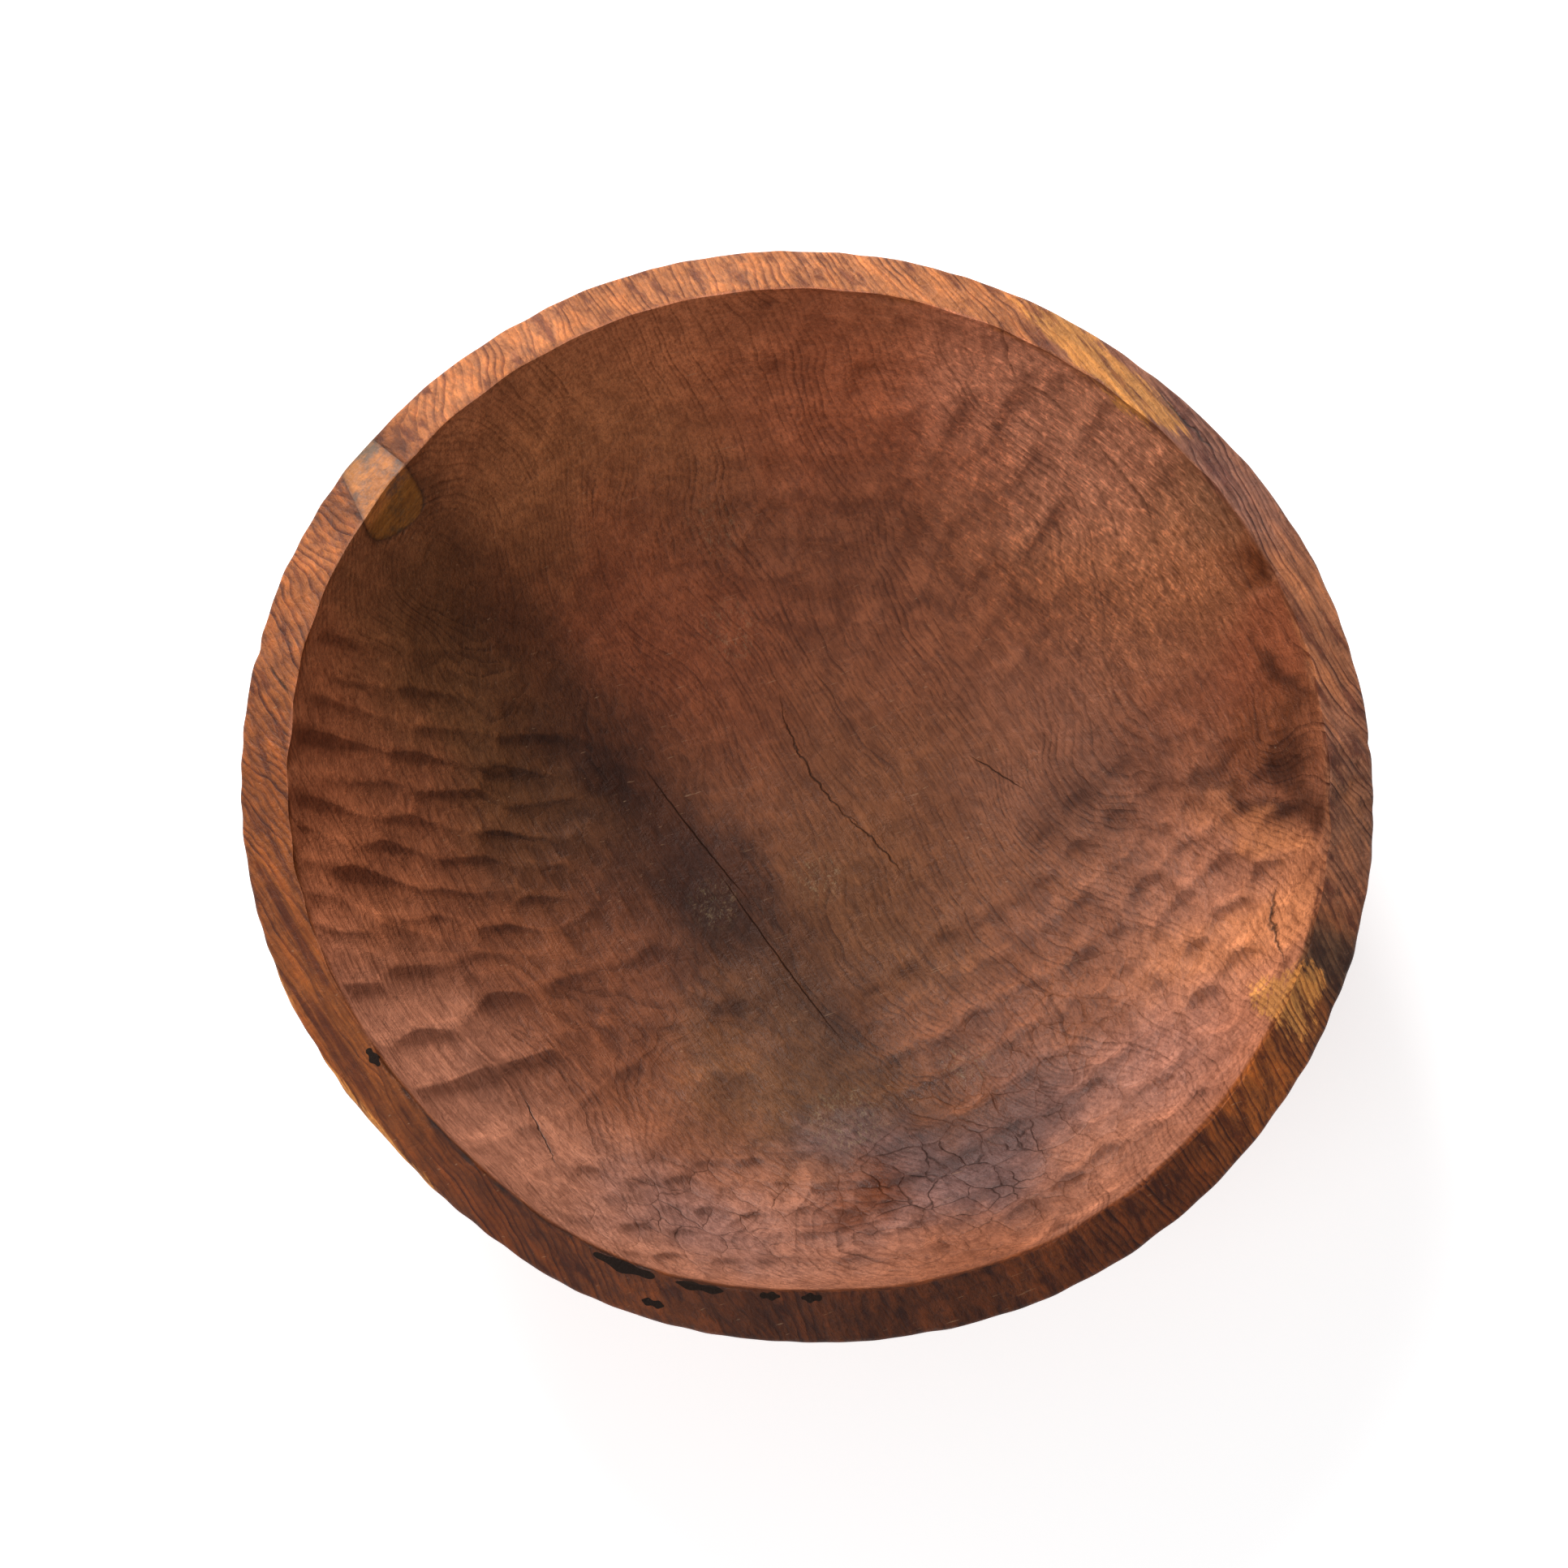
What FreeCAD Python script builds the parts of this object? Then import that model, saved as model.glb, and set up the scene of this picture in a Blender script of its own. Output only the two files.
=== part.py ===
"""Hand-hewn wooden bowl, cut from one block of reddish hardwood.

The bowl is a thick-walled shell with a flat foot.  Its rim is a plain band that falls away outwards from a
sharp inner crest.  Seen from above it is nearly round, a little longer along the grain than across it.
One pale block is let into the rim where a defect was cut out, and dark filler closes the shakes beside the
crest.  Each of those pieces is glued or cast in place, face to face with the pocket that holds it.

Frame: millimetres, +Z up, origin at the middle of the foot's flat face.  The grain of the block runs along the
direction of the outline's longest wave.  Angles are in degrees, anticlockwise from +X as seen from above.
"""

import FreeCAD, Part
import math
import os

# Driving dimensions of the bowl
HEIGHT = 155.0            # foot to crest
RIM_RADIUS = 250.0        # mean radius of the rim's outer edge
RIM_BAND = 22.0           # width of the band in plan, from the outer edge to the crest
RIM_DROP = 9.0            # how far the band falls from the crest to the outer edge
FOOT_RADIUS = 88.0        # mean radius of the flat foot
OUTER_SLOPE = 67.0        # steepness of the outside just under the rim
FLOOR_THICKNESS = 27.0    # wood under the middle of the hollow
FLOOR_RADIUS = 58.0       # mean radius of the level floor of the hollow
INNER_SLOPE = 66.0        # steepness of the hollow just under the crest
HOLLOW_SHIFT = (0.8, -1.4)  # the hollow was cut this far off the middle of the outside, in X and Y

# The plan outline: mean circle plus (waves round the rim, height at the rim, direction of a peak)
OUTLINE_WAVES = (
    (2, 3.4, -42.0),
    (3, 0.6, 41.0),
    (4, 0.7, 0.0),
    (5, 0.3, 30.0),
)

# Pale block let into the rim
PATCH_ANGLE = 145.4       # direction of the middle of the block at the crest
PATCH_TURN = -20.0        # the block goes through the wall this much off the radial direction
PATCH_INNER_WIDTH = 29.5  # at the crest
PATCH_OUTER_WIDTH = 21.0  # at the outer edge, narrower, so that the block can't be pushed inwards
PATCH_DEPTH = 25.0        # from the crest down to the block's rounded tip
PATCH_SHOULDER = 8.0      # depth of the straight sides below the crest
PATCH_TIP_OFFSET = -6.5   # the tip lies this far anticlockwise of the middle: below 0 it is clockwise
PATCH_BULGE = 0.72        # how full the rounded lower end is: 1 would make it square

# Dark filler in the shakes: (node, start angle, end angle, width, distance of its middle line from the crest)
FILLER_DEPTH = 6.0        # below the band's surface
FILLERS = (
    ("long_crack_filler", 246.4, 253.4, 4.6, 2.2),
    ("short_crack_filler", 255.6, 260.8, 3.4, 1.8),
    ("left_spot_filler", 264.6, 266.8, 3.0, 1.6),
    ("right_spot_filler", 269.0, 271.2, 3.4, 1.8),
    ("band_spot_filler", 252.7, 255.1, 3.0, 12.5),
    ("notch_filler", 212.8, 215.2, 4.0, 2.6),
)

# Working values
SECTIONS = 6              # rings that each curved wall is drawn through
OUTLINE_POINTS = 24       # points that each ring is drawn through
TOOL_MARGIN = 14.0        # how far a cutting tool reaches past the wood

CREST_RADIUS = RIM_RADIUS - RIM_BAND
RIM_EDGE_Z = HEIGHT - RIM_DROP


def outline_radius(angle, radius):
    """Radius of the ring of that mean radius, in a direction in degrees."""
    rise = sum(
        height * math.cos(math.radians(order * (angle - peak)))
        for order, height, peak in OUTLINE_WAVES
    )
    return radius * (1.0 + rise / RIM_RADIUS)


def polar(angle, distance, z, shift=0.0):
    """A point at that height, where shift says how many times the hollow's own shift is added."""
    turn = math.radians(angle)
    return FreeCAD.Vector(
        distance * math.cos(turn) + shift * HOLLOW_SHIFT[0],
        distance * math.sin(turn) + shift * HOLLOW_SHIFT[1],
        z,
    )


def ring(radius, z, shift=0.0):
    """One closed smooth ring of the bowl at height z."""
    step = 360.0 / OUTLINE_POINTS
    points = [
        polar(i * step, outline_radius(i * step, radius), z, shift)
        for i in range(OUTLINE_POINTS)
    ]
    curve = Part.BSplineCurve()
    curve.interpolate(Points=points, PeriodicFlag=True)
    return Part.Wire([curve.toShape()])


def arc_profile(start, end, end_slope):
    """(radius, z) at even steps along the circular arc from start to end that rises at end_slope at its end."""
    run, rise = end[0] - start[0], end[1] - start[1]
    chord_slope = math.atan2(rise, run)
    half_sweep = math.radians(end_slope) - chord_slope
    arc_radius = math.hypot(run, rise) / (2.0 * math.sin(half_sweep))
    first = chord_slope - half_sweep
    profile = []
    for i in range(SECTIONS):
        slope = first + 2.0 * half_sweep * i / (SECTIONS - 1)
        profile.append(
            (
                start[0] + arc_radius * (math.sin(slope) - math.sin(first)),
                start[1] - arc_radius * (math.cos(slope) - math.cos(first)),
            )
        )
    return profile


def outer_block():
    """The bowl before it is hollowed: the outside, with the rim band carried on past the crest."""
    outside = arc_profile((FOOT_RADIUS, 0.0), (RIM_RADIUS, RIM_EDGE_Z), OUTER_SLOPE)
    below = Part.makeLoft([ring(r, z) for r, z in outside], True, False)
    past_crest = TOOL_MARGIN / RIM_BAND
    cap_top = ring(
        CREST_RADIUS - TOOL_MARGIN, HEIGHT + RIM_DROP * past_crest, shift=1.0 + past_crest
    )
    above = Part.makeLoft([ring(RIM_RADIUS, RIM_EDGE_Z), cap_top], True, True)
    return below.fuse(above).removeSplitter()


def hollow():
    """The space inside the bowl, carried on above the crest."""
    inside = arc_profile((FLOOR_RADIUS, FLOOR_THICKNESS), (CREST_RADIUS, HEIGHT), INNER_SLOPE)
    above = math.tan(math.radians(INNER_SLOPE)) * TOOL_MARGIN
    inside.append((CREST_RADIUS + TOOL_MARGIN, HEIGHT + above))
    return Part.makeLoft([ring(r, z, shift=1.0) for r, z in inside], True, False)


def patch_section(width, beyond_crest):
    """The rounded outline of the let-in block, in the upright plane that far beyond the crest."""
    half = width / 2.0
    top = HEIGHT + TOOL_MARGIN
    shoulder = HEIGHT - PATCH_SHOULDER
    bulge = shoulder - PATCH_BULGE * (PATCH_DEPTH - PATCH_SHOULDER)
    tip = PATCH_TIP_OFFSET * width / PATCH_INNER_WIDTH
    corners = {
        "top_right": (-half, top),
        "right": (-half, shoulder),
        "right_bulge": (tip - PATCH_BULGE * (half + tip), bulge),
        "tip": (tip, HEIGHT - PATCH_DEPTH),
        "left_bulge": (tip + PATCH_BULGE * (half - tip), bulge),
        "left": (half, shoulder),
        "top_left": (half, top),
    }
    crest = polar(PATCH_ANGLE, outline_radius(PATCH_ANGLE, CREST_RADIUS), 0.0, shift=1.0)
    turn = FreeCAD.Rotation(FreeCAD.Vector(0, 0, 1), PATCH_ANGLE + PATCH_TURN)
    at = {
        name: crest + turn.multVec(FreeCAD.Vector(beyond_crest, across, z))
        for name, (across, z) in corners.items()
    }
    edges = [
        Part.LineSegment(at["top_right"], at["right"]).toShape(),
        Part.Arc(at["right"], at["right_bulge"], at["tip"]).toShape(),
        Part.Arc(at["tip"], at["left_bulge"], at["left"]).toShape(),
        Part.LineSegment(at["left"], at["top_left"]).toShape(),
        Part.LineSegment(at["top_left"], at["top_right"]).toShape(),
    ]
    return Part.Wire(edges)


def patch_pocket():
    """The tapered pocket, cut right through the wall, that the pale block fills."""
    through = RIM_BAND / math.cos(math.radians(PATCH_TURN))
    taper = (PATCH_INNER_WIDTH - PATCH_OUTER_WIDTH) / through
    reach = through + TOOL_MARGIN
    inner = patch_section(PATCH_INNER_WIDTH + taper * reach, -reach)
    outer = patch_section(PATCH_INNER_WIDTH - taper * reach, reach)
    return Part.makeLoft([inner, outer], True, True)


def filler_pocket(start, end, width, offset):
    """A lens-shaped pocket that follows the crest and is sunk into the rim band."""
    middle = (start + end) / 2.0
    floor = HEIGHT - RIM_DROP * offset / RIM_BAND - FILLER_DEPTH

    def on_ring(angle, from_crest):
        distance = outline_radius(angle, CREST_RADIUS) + from_crest
        return polar(angle, distance, floor, shift=1.0)

    first, last = on_ring(start, offset), on_ring(end, offset)
    outer = Part.Arc(first, on_ring(middle, offset + width / 2.0), last).toShape()
    inner = Part.Arc(last, on_ring(middle, offset - width / 2.0), first).toShape()
    lens = Part.Face(Part.Wire([outer, inner]))
    return lens.extrude(FreeCAD.Vector(0, 0, FILLER_DEPTH + TOOL_MARGIN))


def build():
    """Every piece of the bowl, by node name."""
    shell = outer_block().cut(hollow())
    pieces = {"rim_patch": shell.common(patch_pocket())}
    shell = shell.cut(patch_pocket())
    for name, start, end, width, offset in FILLERS:
        pocket = filler_pocket(start, end, width, offset)
        pieces[name] = shell.common(pocket)
        shell = shell.cut(pocket)
    pieces["bowl_body"] = shell
    return pieces


def single_solid(name, shape):
    """The one solid of a piece; a piece in several bits is a mistake in the sizes above."""
    if len(shape.Solids) != 1:
        raise ValueError(f"{name} came out as {len(shape.Solids)} solids")
    return shape.Solids[0]


os.makedirs("parts", exist_ok=True)
for node, shape in build().items():
    solid = single_solid(node, shape)
    box = solid.BoundBox
    print(
        f"{node}: valid {solid.isValid()}, {solid.Volume / 1000.0:.1f} cm3, "
        f"{box.XLength:.1f} x {box.YLength:.1f} x {box.ZLength:.1f} mm"
    )
    solid.exportStep(f"parts/{node}.step")
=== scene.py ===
"""Looks of a hand-hewn hardwood bowl: its carved body, its rim block and the filler in its cracks.

Lengths in the tables are millimetres in the bowl's own frame: +Z up, origin in the middle of the foot,
+X to the right and +Y away from the carver.  Directions are degrees, anticlockwise from +X, seen from above.
"""

import math
import random

import bmesh
import bpy
import numpy as np
from bpy.props import FloatProperty, FloatVectorProperty, IntProperty, PointerProperty
from mathutils import Matrix, Vector


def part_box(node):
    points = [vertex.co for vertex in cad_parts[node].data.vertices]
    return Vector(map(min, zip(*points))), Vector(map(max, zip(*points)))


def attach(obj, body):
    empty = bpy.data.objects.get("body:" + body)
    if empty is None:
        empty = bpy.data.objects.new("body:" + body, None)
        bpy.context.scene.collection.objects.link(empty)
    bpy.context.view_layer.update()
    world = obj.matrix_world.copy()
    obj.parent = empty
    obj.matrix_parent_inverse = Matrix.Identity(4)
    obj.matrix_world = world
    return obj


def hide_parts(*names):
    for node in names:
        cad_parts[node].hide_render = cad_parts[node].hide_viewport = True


bl_info = {
    "name": "Hewn Bowl",
    "version": (1, 0, 0),
    "blender": (4, 5, 0),
    "location": "View3D > Sidebar > Bowl",
    "description": "Carves a hewn hardwood bowl, fits its rim block and filler, and lays the studio floor",
    "category": "Object",
}

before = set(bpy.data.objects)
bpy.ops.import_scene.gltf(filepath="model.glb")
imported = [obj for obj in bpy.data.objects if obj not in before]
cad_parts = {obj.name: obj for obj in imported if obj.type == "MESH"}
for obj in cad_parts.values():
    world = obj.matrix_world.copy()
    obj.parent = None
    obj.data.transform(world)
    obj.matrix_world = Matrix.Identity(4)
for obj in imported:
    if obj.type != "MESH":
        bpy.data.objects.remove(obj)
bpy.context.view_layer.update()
BODY_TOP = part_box("bowl_body")[1].z
MM = 0.001

# Outline seen from above: mean radius, and waves as (how many, height at the rim, direction of a peak)
RIM_RADIUS = 250.0
OUTLINE_WAVES = (
    (2, 3.4, -42.0), (3, 0.6, 41.0), (4, 0.7, 0.0), (5, 0.3, 30.0),
    (6, 0.35, 16.5), (7, 0.27, -8.0), (8, 0.35, -21.0),
)
HOLLOW_SHIFT = (0.8, -1.4)  # the hollow was cut this far off the middle of the outside, in X and Y
# The crest swells outwards on the near side: how far, in which direction, over how many radians
CREST_SWELL, SWELL_DIRECTION, SWELL_REACH = 2.2, 241.0, 0.34

# Grain of the block: the pith runs level, along this direction, through this point
PITH_POINT = (-78.0, -20.0, 112.0)
PITH_DIRECTION = -56.5

# Fields of gouge cuts inside: (middle x, y), (half length, half width), direction of the rows,
# bend of the rows per metre, distance between rows, length of a cut, depth of a cut
GOUGE_FIELDS = {
    "left wall": ((-176, -14), (70, 76), 3, 0.0, 15, 36, 3.3),
    "upper left wall": ((-190, 62), (40, 34), 8, 0.0, 18, 32, 1.6),
    "lower left wall": ((-140, -110), (90, 64), 32, 0.0, 27, 36, 2.8),
    "near left floor": ((-60, -112), (76, 62), -40, 0.0, 27, 34, 2.3),
    "near right wall": ((100, -134), (88, 70), -58, 1.6, 21, 19, 3.6),
    "right wall": ((168, -48), (66, 74), -30, 1.2, 21, 19, 3.6),
    "near wall": ((-8, -192), (112, 36), 2, 0.8, 13, 20, 2.5),
    "far wall": ((10, 184), (96, 54), 88, 0.0, 20, 17, 1.9),
    "far left wall": ((-108, 150), (80, 74), 70, 0.0, 26, 30, 1.1),
    "far right wall": ((112, 156), (88, 78), 62, 0.0, 20, 40, 1.9),
    "right eye": ((192, 34), (44, 50), 80, 0.0, 24, 26, 1.5),
    "floor": ((0, 10), (140, 110), -56, 0.0, 30, 46, 0.9),
}
RIM_CALM = 3.0            # the cuts fade out this far below the crest
# Slow swells that hand work leaves: height, wavelength, seed
INNER_SWELL, OUTER_SWELL = (0.35, 60.0, 5), (0.22, 34.0, 6)
CREST_WOBBLE, EDGE_WOBBLE = (0.55, 40.0, 71), (0.25, 18.0, 72)
WOBBLE_REACH = 9.0        # how far from the crest and the outer edge their wobble fades
EDGE_WEAR = 0.2           # how far the outer edge is worn back
RIDGE_BLEND = 0.22        # how far two cuts run into one another at the ridge between them
CUT_LEAN = 0.35           # how much deeper a cut is towards its left side
SHADED_LIP_DIRECTION = 112.0     # painted shade lies in the lip of a cut on this side, and painted highlight in the lip across from it

# Adze cuts of the outside, in rows down from the rim's outer edge
ADZE_ROWS, ADZE_START = 9, 8.0
ADZE_ROW_SPACING, ADZE_CUT_SPACING = 29.0, 47.0
ADZE_HALF_LENGTH, ADZE_HALF_WIDTH = 34.0, 24.0

# Dark filler beside the crest: piece, CAD node, first and last direction, width, distance from the crest
FILLERS = (
    ("long_crack_pitch", "long_crack_filler", 246.4, 253.4, 4.6, 2.2),
    ("short_crack_pitch", "short_crack_filler", 255.6, 260.8, 3.4, 1.8),
    ("left_spot_pitch", "left_spot_filler", 264.6, 266.8, 3.0, 1.6),
    ("right_spot_pitch", "right_spot_filler", 269.0, 271.2, 3.4, 1.8),
    ("band_spot_pitch", "band_spot_filler", 252.7, 255.1, 3.0, 12.5),
    ("notch_pitch", "notch_filler", 212.8, 215.2, 4.0, 2.6),
)
FILLER_DEPTH = 6.0        # below the surface of the band
TOOL_MARGIN = 10.0        # how far a cutting tool stands above the wood

# Block let into the rim: direction of its middle at the crest, and how far it is turned off the radius
PATCH_ANGLE, PATCH_TURN = 145.4, -20.0
# Its width at the crest and at the rim's outer edge, its depth, and the depth of its straight sides
PATCH_INNER_WIDTH, PATCH_OUTER_WIDTH = 29.5, 21.0
PATCH_DEPTH, PATCH_SHOULDER = 25.0, 8.0
PATCH_TIP_OFFSET = -6.5   # the tip lies this far anticlockwise of the middle: below 0 it is clockwise

FLOOR_BLEND = 26.0        # how far the level floor and the wall run into one another

# How fine the flat stock is cut: radius of its middle grid, rings of the hollow, rings of the outside
CORE_RADIUS, HOLLOW_RINGS, OUTER_RINGS = 112.0, 72, 40

# Small hollows in the surface: (x, y), radius, depth
PITS = (
    ((204, 90), 4.2, 3.2), ((199, 97), 3.0, 1.4),
    ((240, -6), 3.4, 2.2), ((236, -12), 2.6, 1.8), ((243, 4), 3.0, 1.6), ((236, 8), 2.4, 1.4),
    ((245, -16), 3.2, 1.5), ((233, 1), 2.4, 1.2), ((247, 14), 2.6, 1.0),
    ((-246, 58), 4.5, 1.1), ((-233, 27), 3.0, 0.8), ((26, -176), 5.0, 0.9), ((17, -171), 3.5, 0.7),
)


def length_value(label, text, mm):
    """A length property whose default is in millimetres."""
    return FloatProperty(name=label, description=text, default=mm * MM, min=0.0, precision=4, unit="LENGTH")


def slope_value(label, text, degrees):
    """An angle property whose default is in degrees."""
    return FloatProperty(name=label, description=text, default=math.radians(degrees), unit="ROTATION")


def colour_value(label, text, rgb):
    """A colour property whose default is given as display values from 0 to 255."""
    linear = [(c / 255.0) ** 2.2 for c in rgb]
    return FloatVectorProperty(
        name=label, description=text, default=linear, size=3, min=0.0, max=1.0, subtype="COLOR"
    )


class BowlShape(bpy.types.PropertyGroup):
    """Sizes of the bowl's section and how finely it is carved."""

    height: FloatProperty(
        name="Height", description="Foot to crest", default=BODY_TOP, min=0.02, precision=4, unit="LENGTH"
    )
    rim_radius: length_value("Rim Radius", "Mean radius of the rim's outer edge", RIM_RADIUS)
    rim_band: length_value("Rim Band", "Width of the flat band round the rim", 22.0)
    rim_drop: length_value("Rim Drop", "Fall of the band from the crest to its outer edge", 9.0)
    foot_radius: length_value("Foot Radius", "Mean radius of the flat foot", 88.0)
    floor_radius: length_value("Floor Radius", "Mean radius of the level floor", 58.0)
    floor_thickness: length_value("Floor Thickness", "Wood under the middle of the hollow", 27.0)
    inner_slope: slope_value("Inner Slope", "Steepness of the hollow just under the crest", 66.0)
    outer_slope: slope_value("Outer Slope", "Steepness of the outside just under the rim", 67.0)
    crest_round: length_value("Crest Rounding", "Wear on the crest", 0.9)
    edge_round: length_value("Edge Rounding", "Wear on the rim's outer edge", 3.2)
    columns: IntProperty(name="Columns", description="Faces round the rim", default=640, min=64)
    cut_depth: FloatProperty(
        name="Cut Depth", description="Depth of the gouge cuts, as a share of the usual", default=1.0,
        min=0.0, max=3.0, subtype="FACTOR",
    )


class BowlFinish(bpy.types.PropertyGroup):
    """Colours of the wood, the filler and the floor."""

    heartwood: colour_value("Heartwood", "Main reddish brown of the wood", (144, 85, 57))
    red_heart: colour_value("Red Heart", "Redder stretches of the heartwood", (148, 78, 50))
    band_wood: colour_value("Band Wood", "Wood of the flat band round the rim", (152, 84, 38))
    olive: colour_value("Old Oil", "Olive brown where oil has darkened the wood", (112, 74, 44))
    stain: colour_value("Heart Stain", "Dark streak along the pith", (58, 30, 17))
    # rosy: painted sheen and painted light on the near, right and far right walls and the band's right
    rosy_sheen: colour_value("Rosy Wood", "Paler pinkish wood of the near walls", (160, 107, 85))
    # lilac: painted sheen on the near wall and on the band's right
    lilac_sheen: colour_value("Lilac Bloom", "Greyish bloom on the near wall", (118, 92, 90))
    honey: colour_value("Honey", "Fresh orange wood on the rim", (190, 118, 72))
    sapwood: colour_value("Sapwood", "Pale yellow wood under the bark", (204, 138, 74))
    # umber: on the near rim partly handling dirt and partly painted shade
    umber: colour_value("Umber", "Handled dark brown of the near rim", (102, 52, 24))
    slate: colour_value("Slate", "Grey green dirt on the right of the rim", (98, 70, 52))
    patch: colour_value("Patch", "Block let into the rim", (186, 114, 56))
    pitch: colour_value("Pitch", "Dark filler", (34, 22, 15))
    floor: colour_value("Floor", "Studio floor", (246, 246, 246))


# ---- section of the bowl
class Section:
    """The bowl's section, as a path from the middle of the floor over the crest and round to the foot."""

    def __init__(self, shape):
        self.height = shape.height / MM
        self.rim_radius = shape.rim_radius / MM
        self.rim_band = shape.rim_band / MM
        self.drop = shape.rim_drop / MM
        self.crest_radius = self.rim_radius - self.rim_band
        self.foot_radius = shape.foot_radius / MM
        self.floor_radius = shape.floor_radius / MM
        self.floor_z = shape.floor_thickness / MM
        self.edge_z = self.height - self.drop
        self.band = math.hypot(self.rim_band, self.drop)
        self.rounds = (shape.crest_round / MM, shape.edge_round / MM)
        self.inside = self.arc(
            (self.floor_radius, self.floor_z), (self.crest_radius, self.height), shape.inner_slope
        )
        self.outside = self.arc((self.foot_radius, 0.0), (self.rim_radius, self.edge_z), shape.outer_slope)
        self.crest = self.floor_radius + self.inside[0]
        self.edge = self.crest + self.band
        self.foot = self.edge + self.outside[0]
        self.end = self.foot + self.foot_radius

    @staticmethod
    def arc(start, end, end_slope):
        """Length of the arc that rises at end_slope at its end, and the function that walks along it."""
        run, rise = end[0] - start[0], end[1] - start[1]
        chord_slope = math.atan2(rise, run)
        half_sweep = end_slope - chord_slope
        radius = math.hypot(run, rise) / (2.0 * math.sin(half_sweep))
        first = chord_slope - half_sweep

        def at(distance):
            slope = first + distance / radius
            across = start[0] + radius * (np.sin(slope) - math.sin(first))
            up = start[1] - radius * (np.cos(slope) - math.cos(first))
            return across, up

        return 2.0 * half_sweep * radius, at

    def sharp(self, s):
        """Radius and height at distances s along the path, with sharp corners."""
        in_r, in_z = self.inside[1](np.clip(s - self.floor_radius, 0.0, self.inside[0]))
        out_r, out_z = self.outside[1](np.clip(self.foot - s, 0.0, self.outside[0]))
        share = np.clip((s - self.crest) / self.band, 0.0, 1.0)
        band_r = self.crest_radius + share * (self.rim_radius - self.crest_radius)
        band_z = self.height - share * self.drop
        stretches = [s < self.floor_radius, s < self.crest, s < self.edge, s < self.foot]
        radius = np.select(stretches, [s, in_r, band_r, out_r], self.end - s)
        height = np.select(stretches, [np.full_like(s, self.floor_z), in_z, band_z, out_z], 0.0 * s)
        return radius, height

    def at(self, s):
        """Radius and height at distances s, with the crest and the outer edge worn round."""
        crest_round, edge_round = self.rounds
        wear = np.where(s < (self.crest + self.edge) / 2.0, crest_round, edge_round)
        wear = np.where(s < self.crest / 2.0, np.minimum(FLOOR_BLEND, s), wear)
        radius, height = 0.0, 0.0
        for step, weight in ((-1.0, 1), (-0.5, 4), (0.0, 6), (0.5, 4), (1.0, 1)):
            r, z = self.sharp(np.clip(s + step * wear, 0.0, self.end))
            radius, height = radius + weight * r / 16.0, height + weight * z / 16.0
        return radius, height


def outline_share(turn):
    """How much further out than a circle the outline lies, as a share, in directions in radians."""
    return sum(h * np.cos(n * (turn - math.radians(peak))) for n, h, peak in OUTLINE_WAVES) / RIM_RADIUS


def hump(distance, reach):
    """1 in the middle, falling smoothly to nothing at about twice the reach."""
    return np.exp(-((distance / reach) ** 2))


def crest_swell(turn):
    """How far the crest is pushed outwards, in directions in radians."""
    return CREST_SWELL * hump(turn_gap(turn, SWELL_DIRECTION), SWELL_REACH)


def ripple(x, y, wavelength, seed):
    """A smooth random swell between about -1 and 1."""
    pick = random.Random(seed)
    total = np.zeros_like(x)
    for _ in range(7):
        turn, phase = pick.uniform(0.0, math.tau), pick.uniform(0.0, math.tau)
        pace = math.tau / (wavelength * pick.uniform(0.7, 1.5))
        total += np.sin(pace * (x * math.cos(turn) + y * math.sin(turn)) + phase)
    return total / 3.2


def swell(x, y, height, wavelength, seed):
    """The ripple, with its height in millimetres."""
    return height * ripple(x, y, wavelength, seed)


def turn_gap(turn, degrees):
    """Signed angle in radians from a direction in degrees, between -pi and pi."""
    return (turn - math.radians(degrees) + math.pi) % math.tau - math.pi


# ---- tool marks
def gouge_cuts(section):
    """Every gouge cut of the hollow: middle, direction, half length, half width and depth."""
    pick = random.Random(11)
    cuts = []
    for (mx, my), (reach, half), turn, bend, spacing, length, depth in GOUGE_FIELDS.values():
        along = Vector((math.cos(math.radians(turn)), math.sin(math.radians(turn))))
        across = Vector((-along.y, along.x))
        rows = int(half / spacing) + 1
        per_row = int(reach / length) + 1
        for row in range(-rows, rows + 1):
            offset = pick.uniform(-0.5, 0.5)
            for i in range(-per_row, per_row + 1):
                u = (i + offset + pick.uniform(-0.16, 0.16)) * length
                v = (row + pick.uniform(-0.13, 0.13)) * spacing + bend * MM * u * u
                inside_field = abs(u / reach) ** 3 + abs(v / half) ** 3
                place = Vector((mx, my)) + along * u + across * v
                if inside_field > 1.15 or place.length > section.crest_radius + 8.0:
                    continue
                strength = pick.uniform(0.6, 1.15) * (1.0 - 0.45 * inside_field)
                heading = math.radians(turn + pick.uniform(-9, 9)) + math.atan(2.0 * bend * MM * u)
                cuts.append((
                    place.x, place.y, heading,
                    length * pick.uniform(0.7, 0.9), spacing * pick.uniform(0.74, 0.9), depth * strength,
                ))
    return cuts


def adze_cuts(section):
    """The broader adze cuts of the outside, laid on its skin as unrolled: round the rim, and down."""
    pick = random.Random(23)
    cuts = []
    for row in range(ADZE_ROWS):
        s = section.edge + ADZE_START + ADZE_ROW_SPACING * row
        radius = section.at(np.array([s]))[0][0]
        count = int(math.tau * radius / ADZE_CUT_SPACING)
        offset = pick.uniform(0.0, 1.0)
        half_length = ADZE_HALF_LENGTH * section.rim_radius / max(radius, 60.0)
        for i in range(count + 1):
            turn = math.tau * (i + offset + pick.uniform(-0.2, 0.2)) / count
            cuts.append((
                turn * section.rim_radius, s + pick.uniform(-5, 5), pick.uniform(-0.3, 0.3),
                half_length, ADZE_HALF_WIDTH, pick.uniform(1.0, 2.1),
            ))
    return cuts


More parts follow.
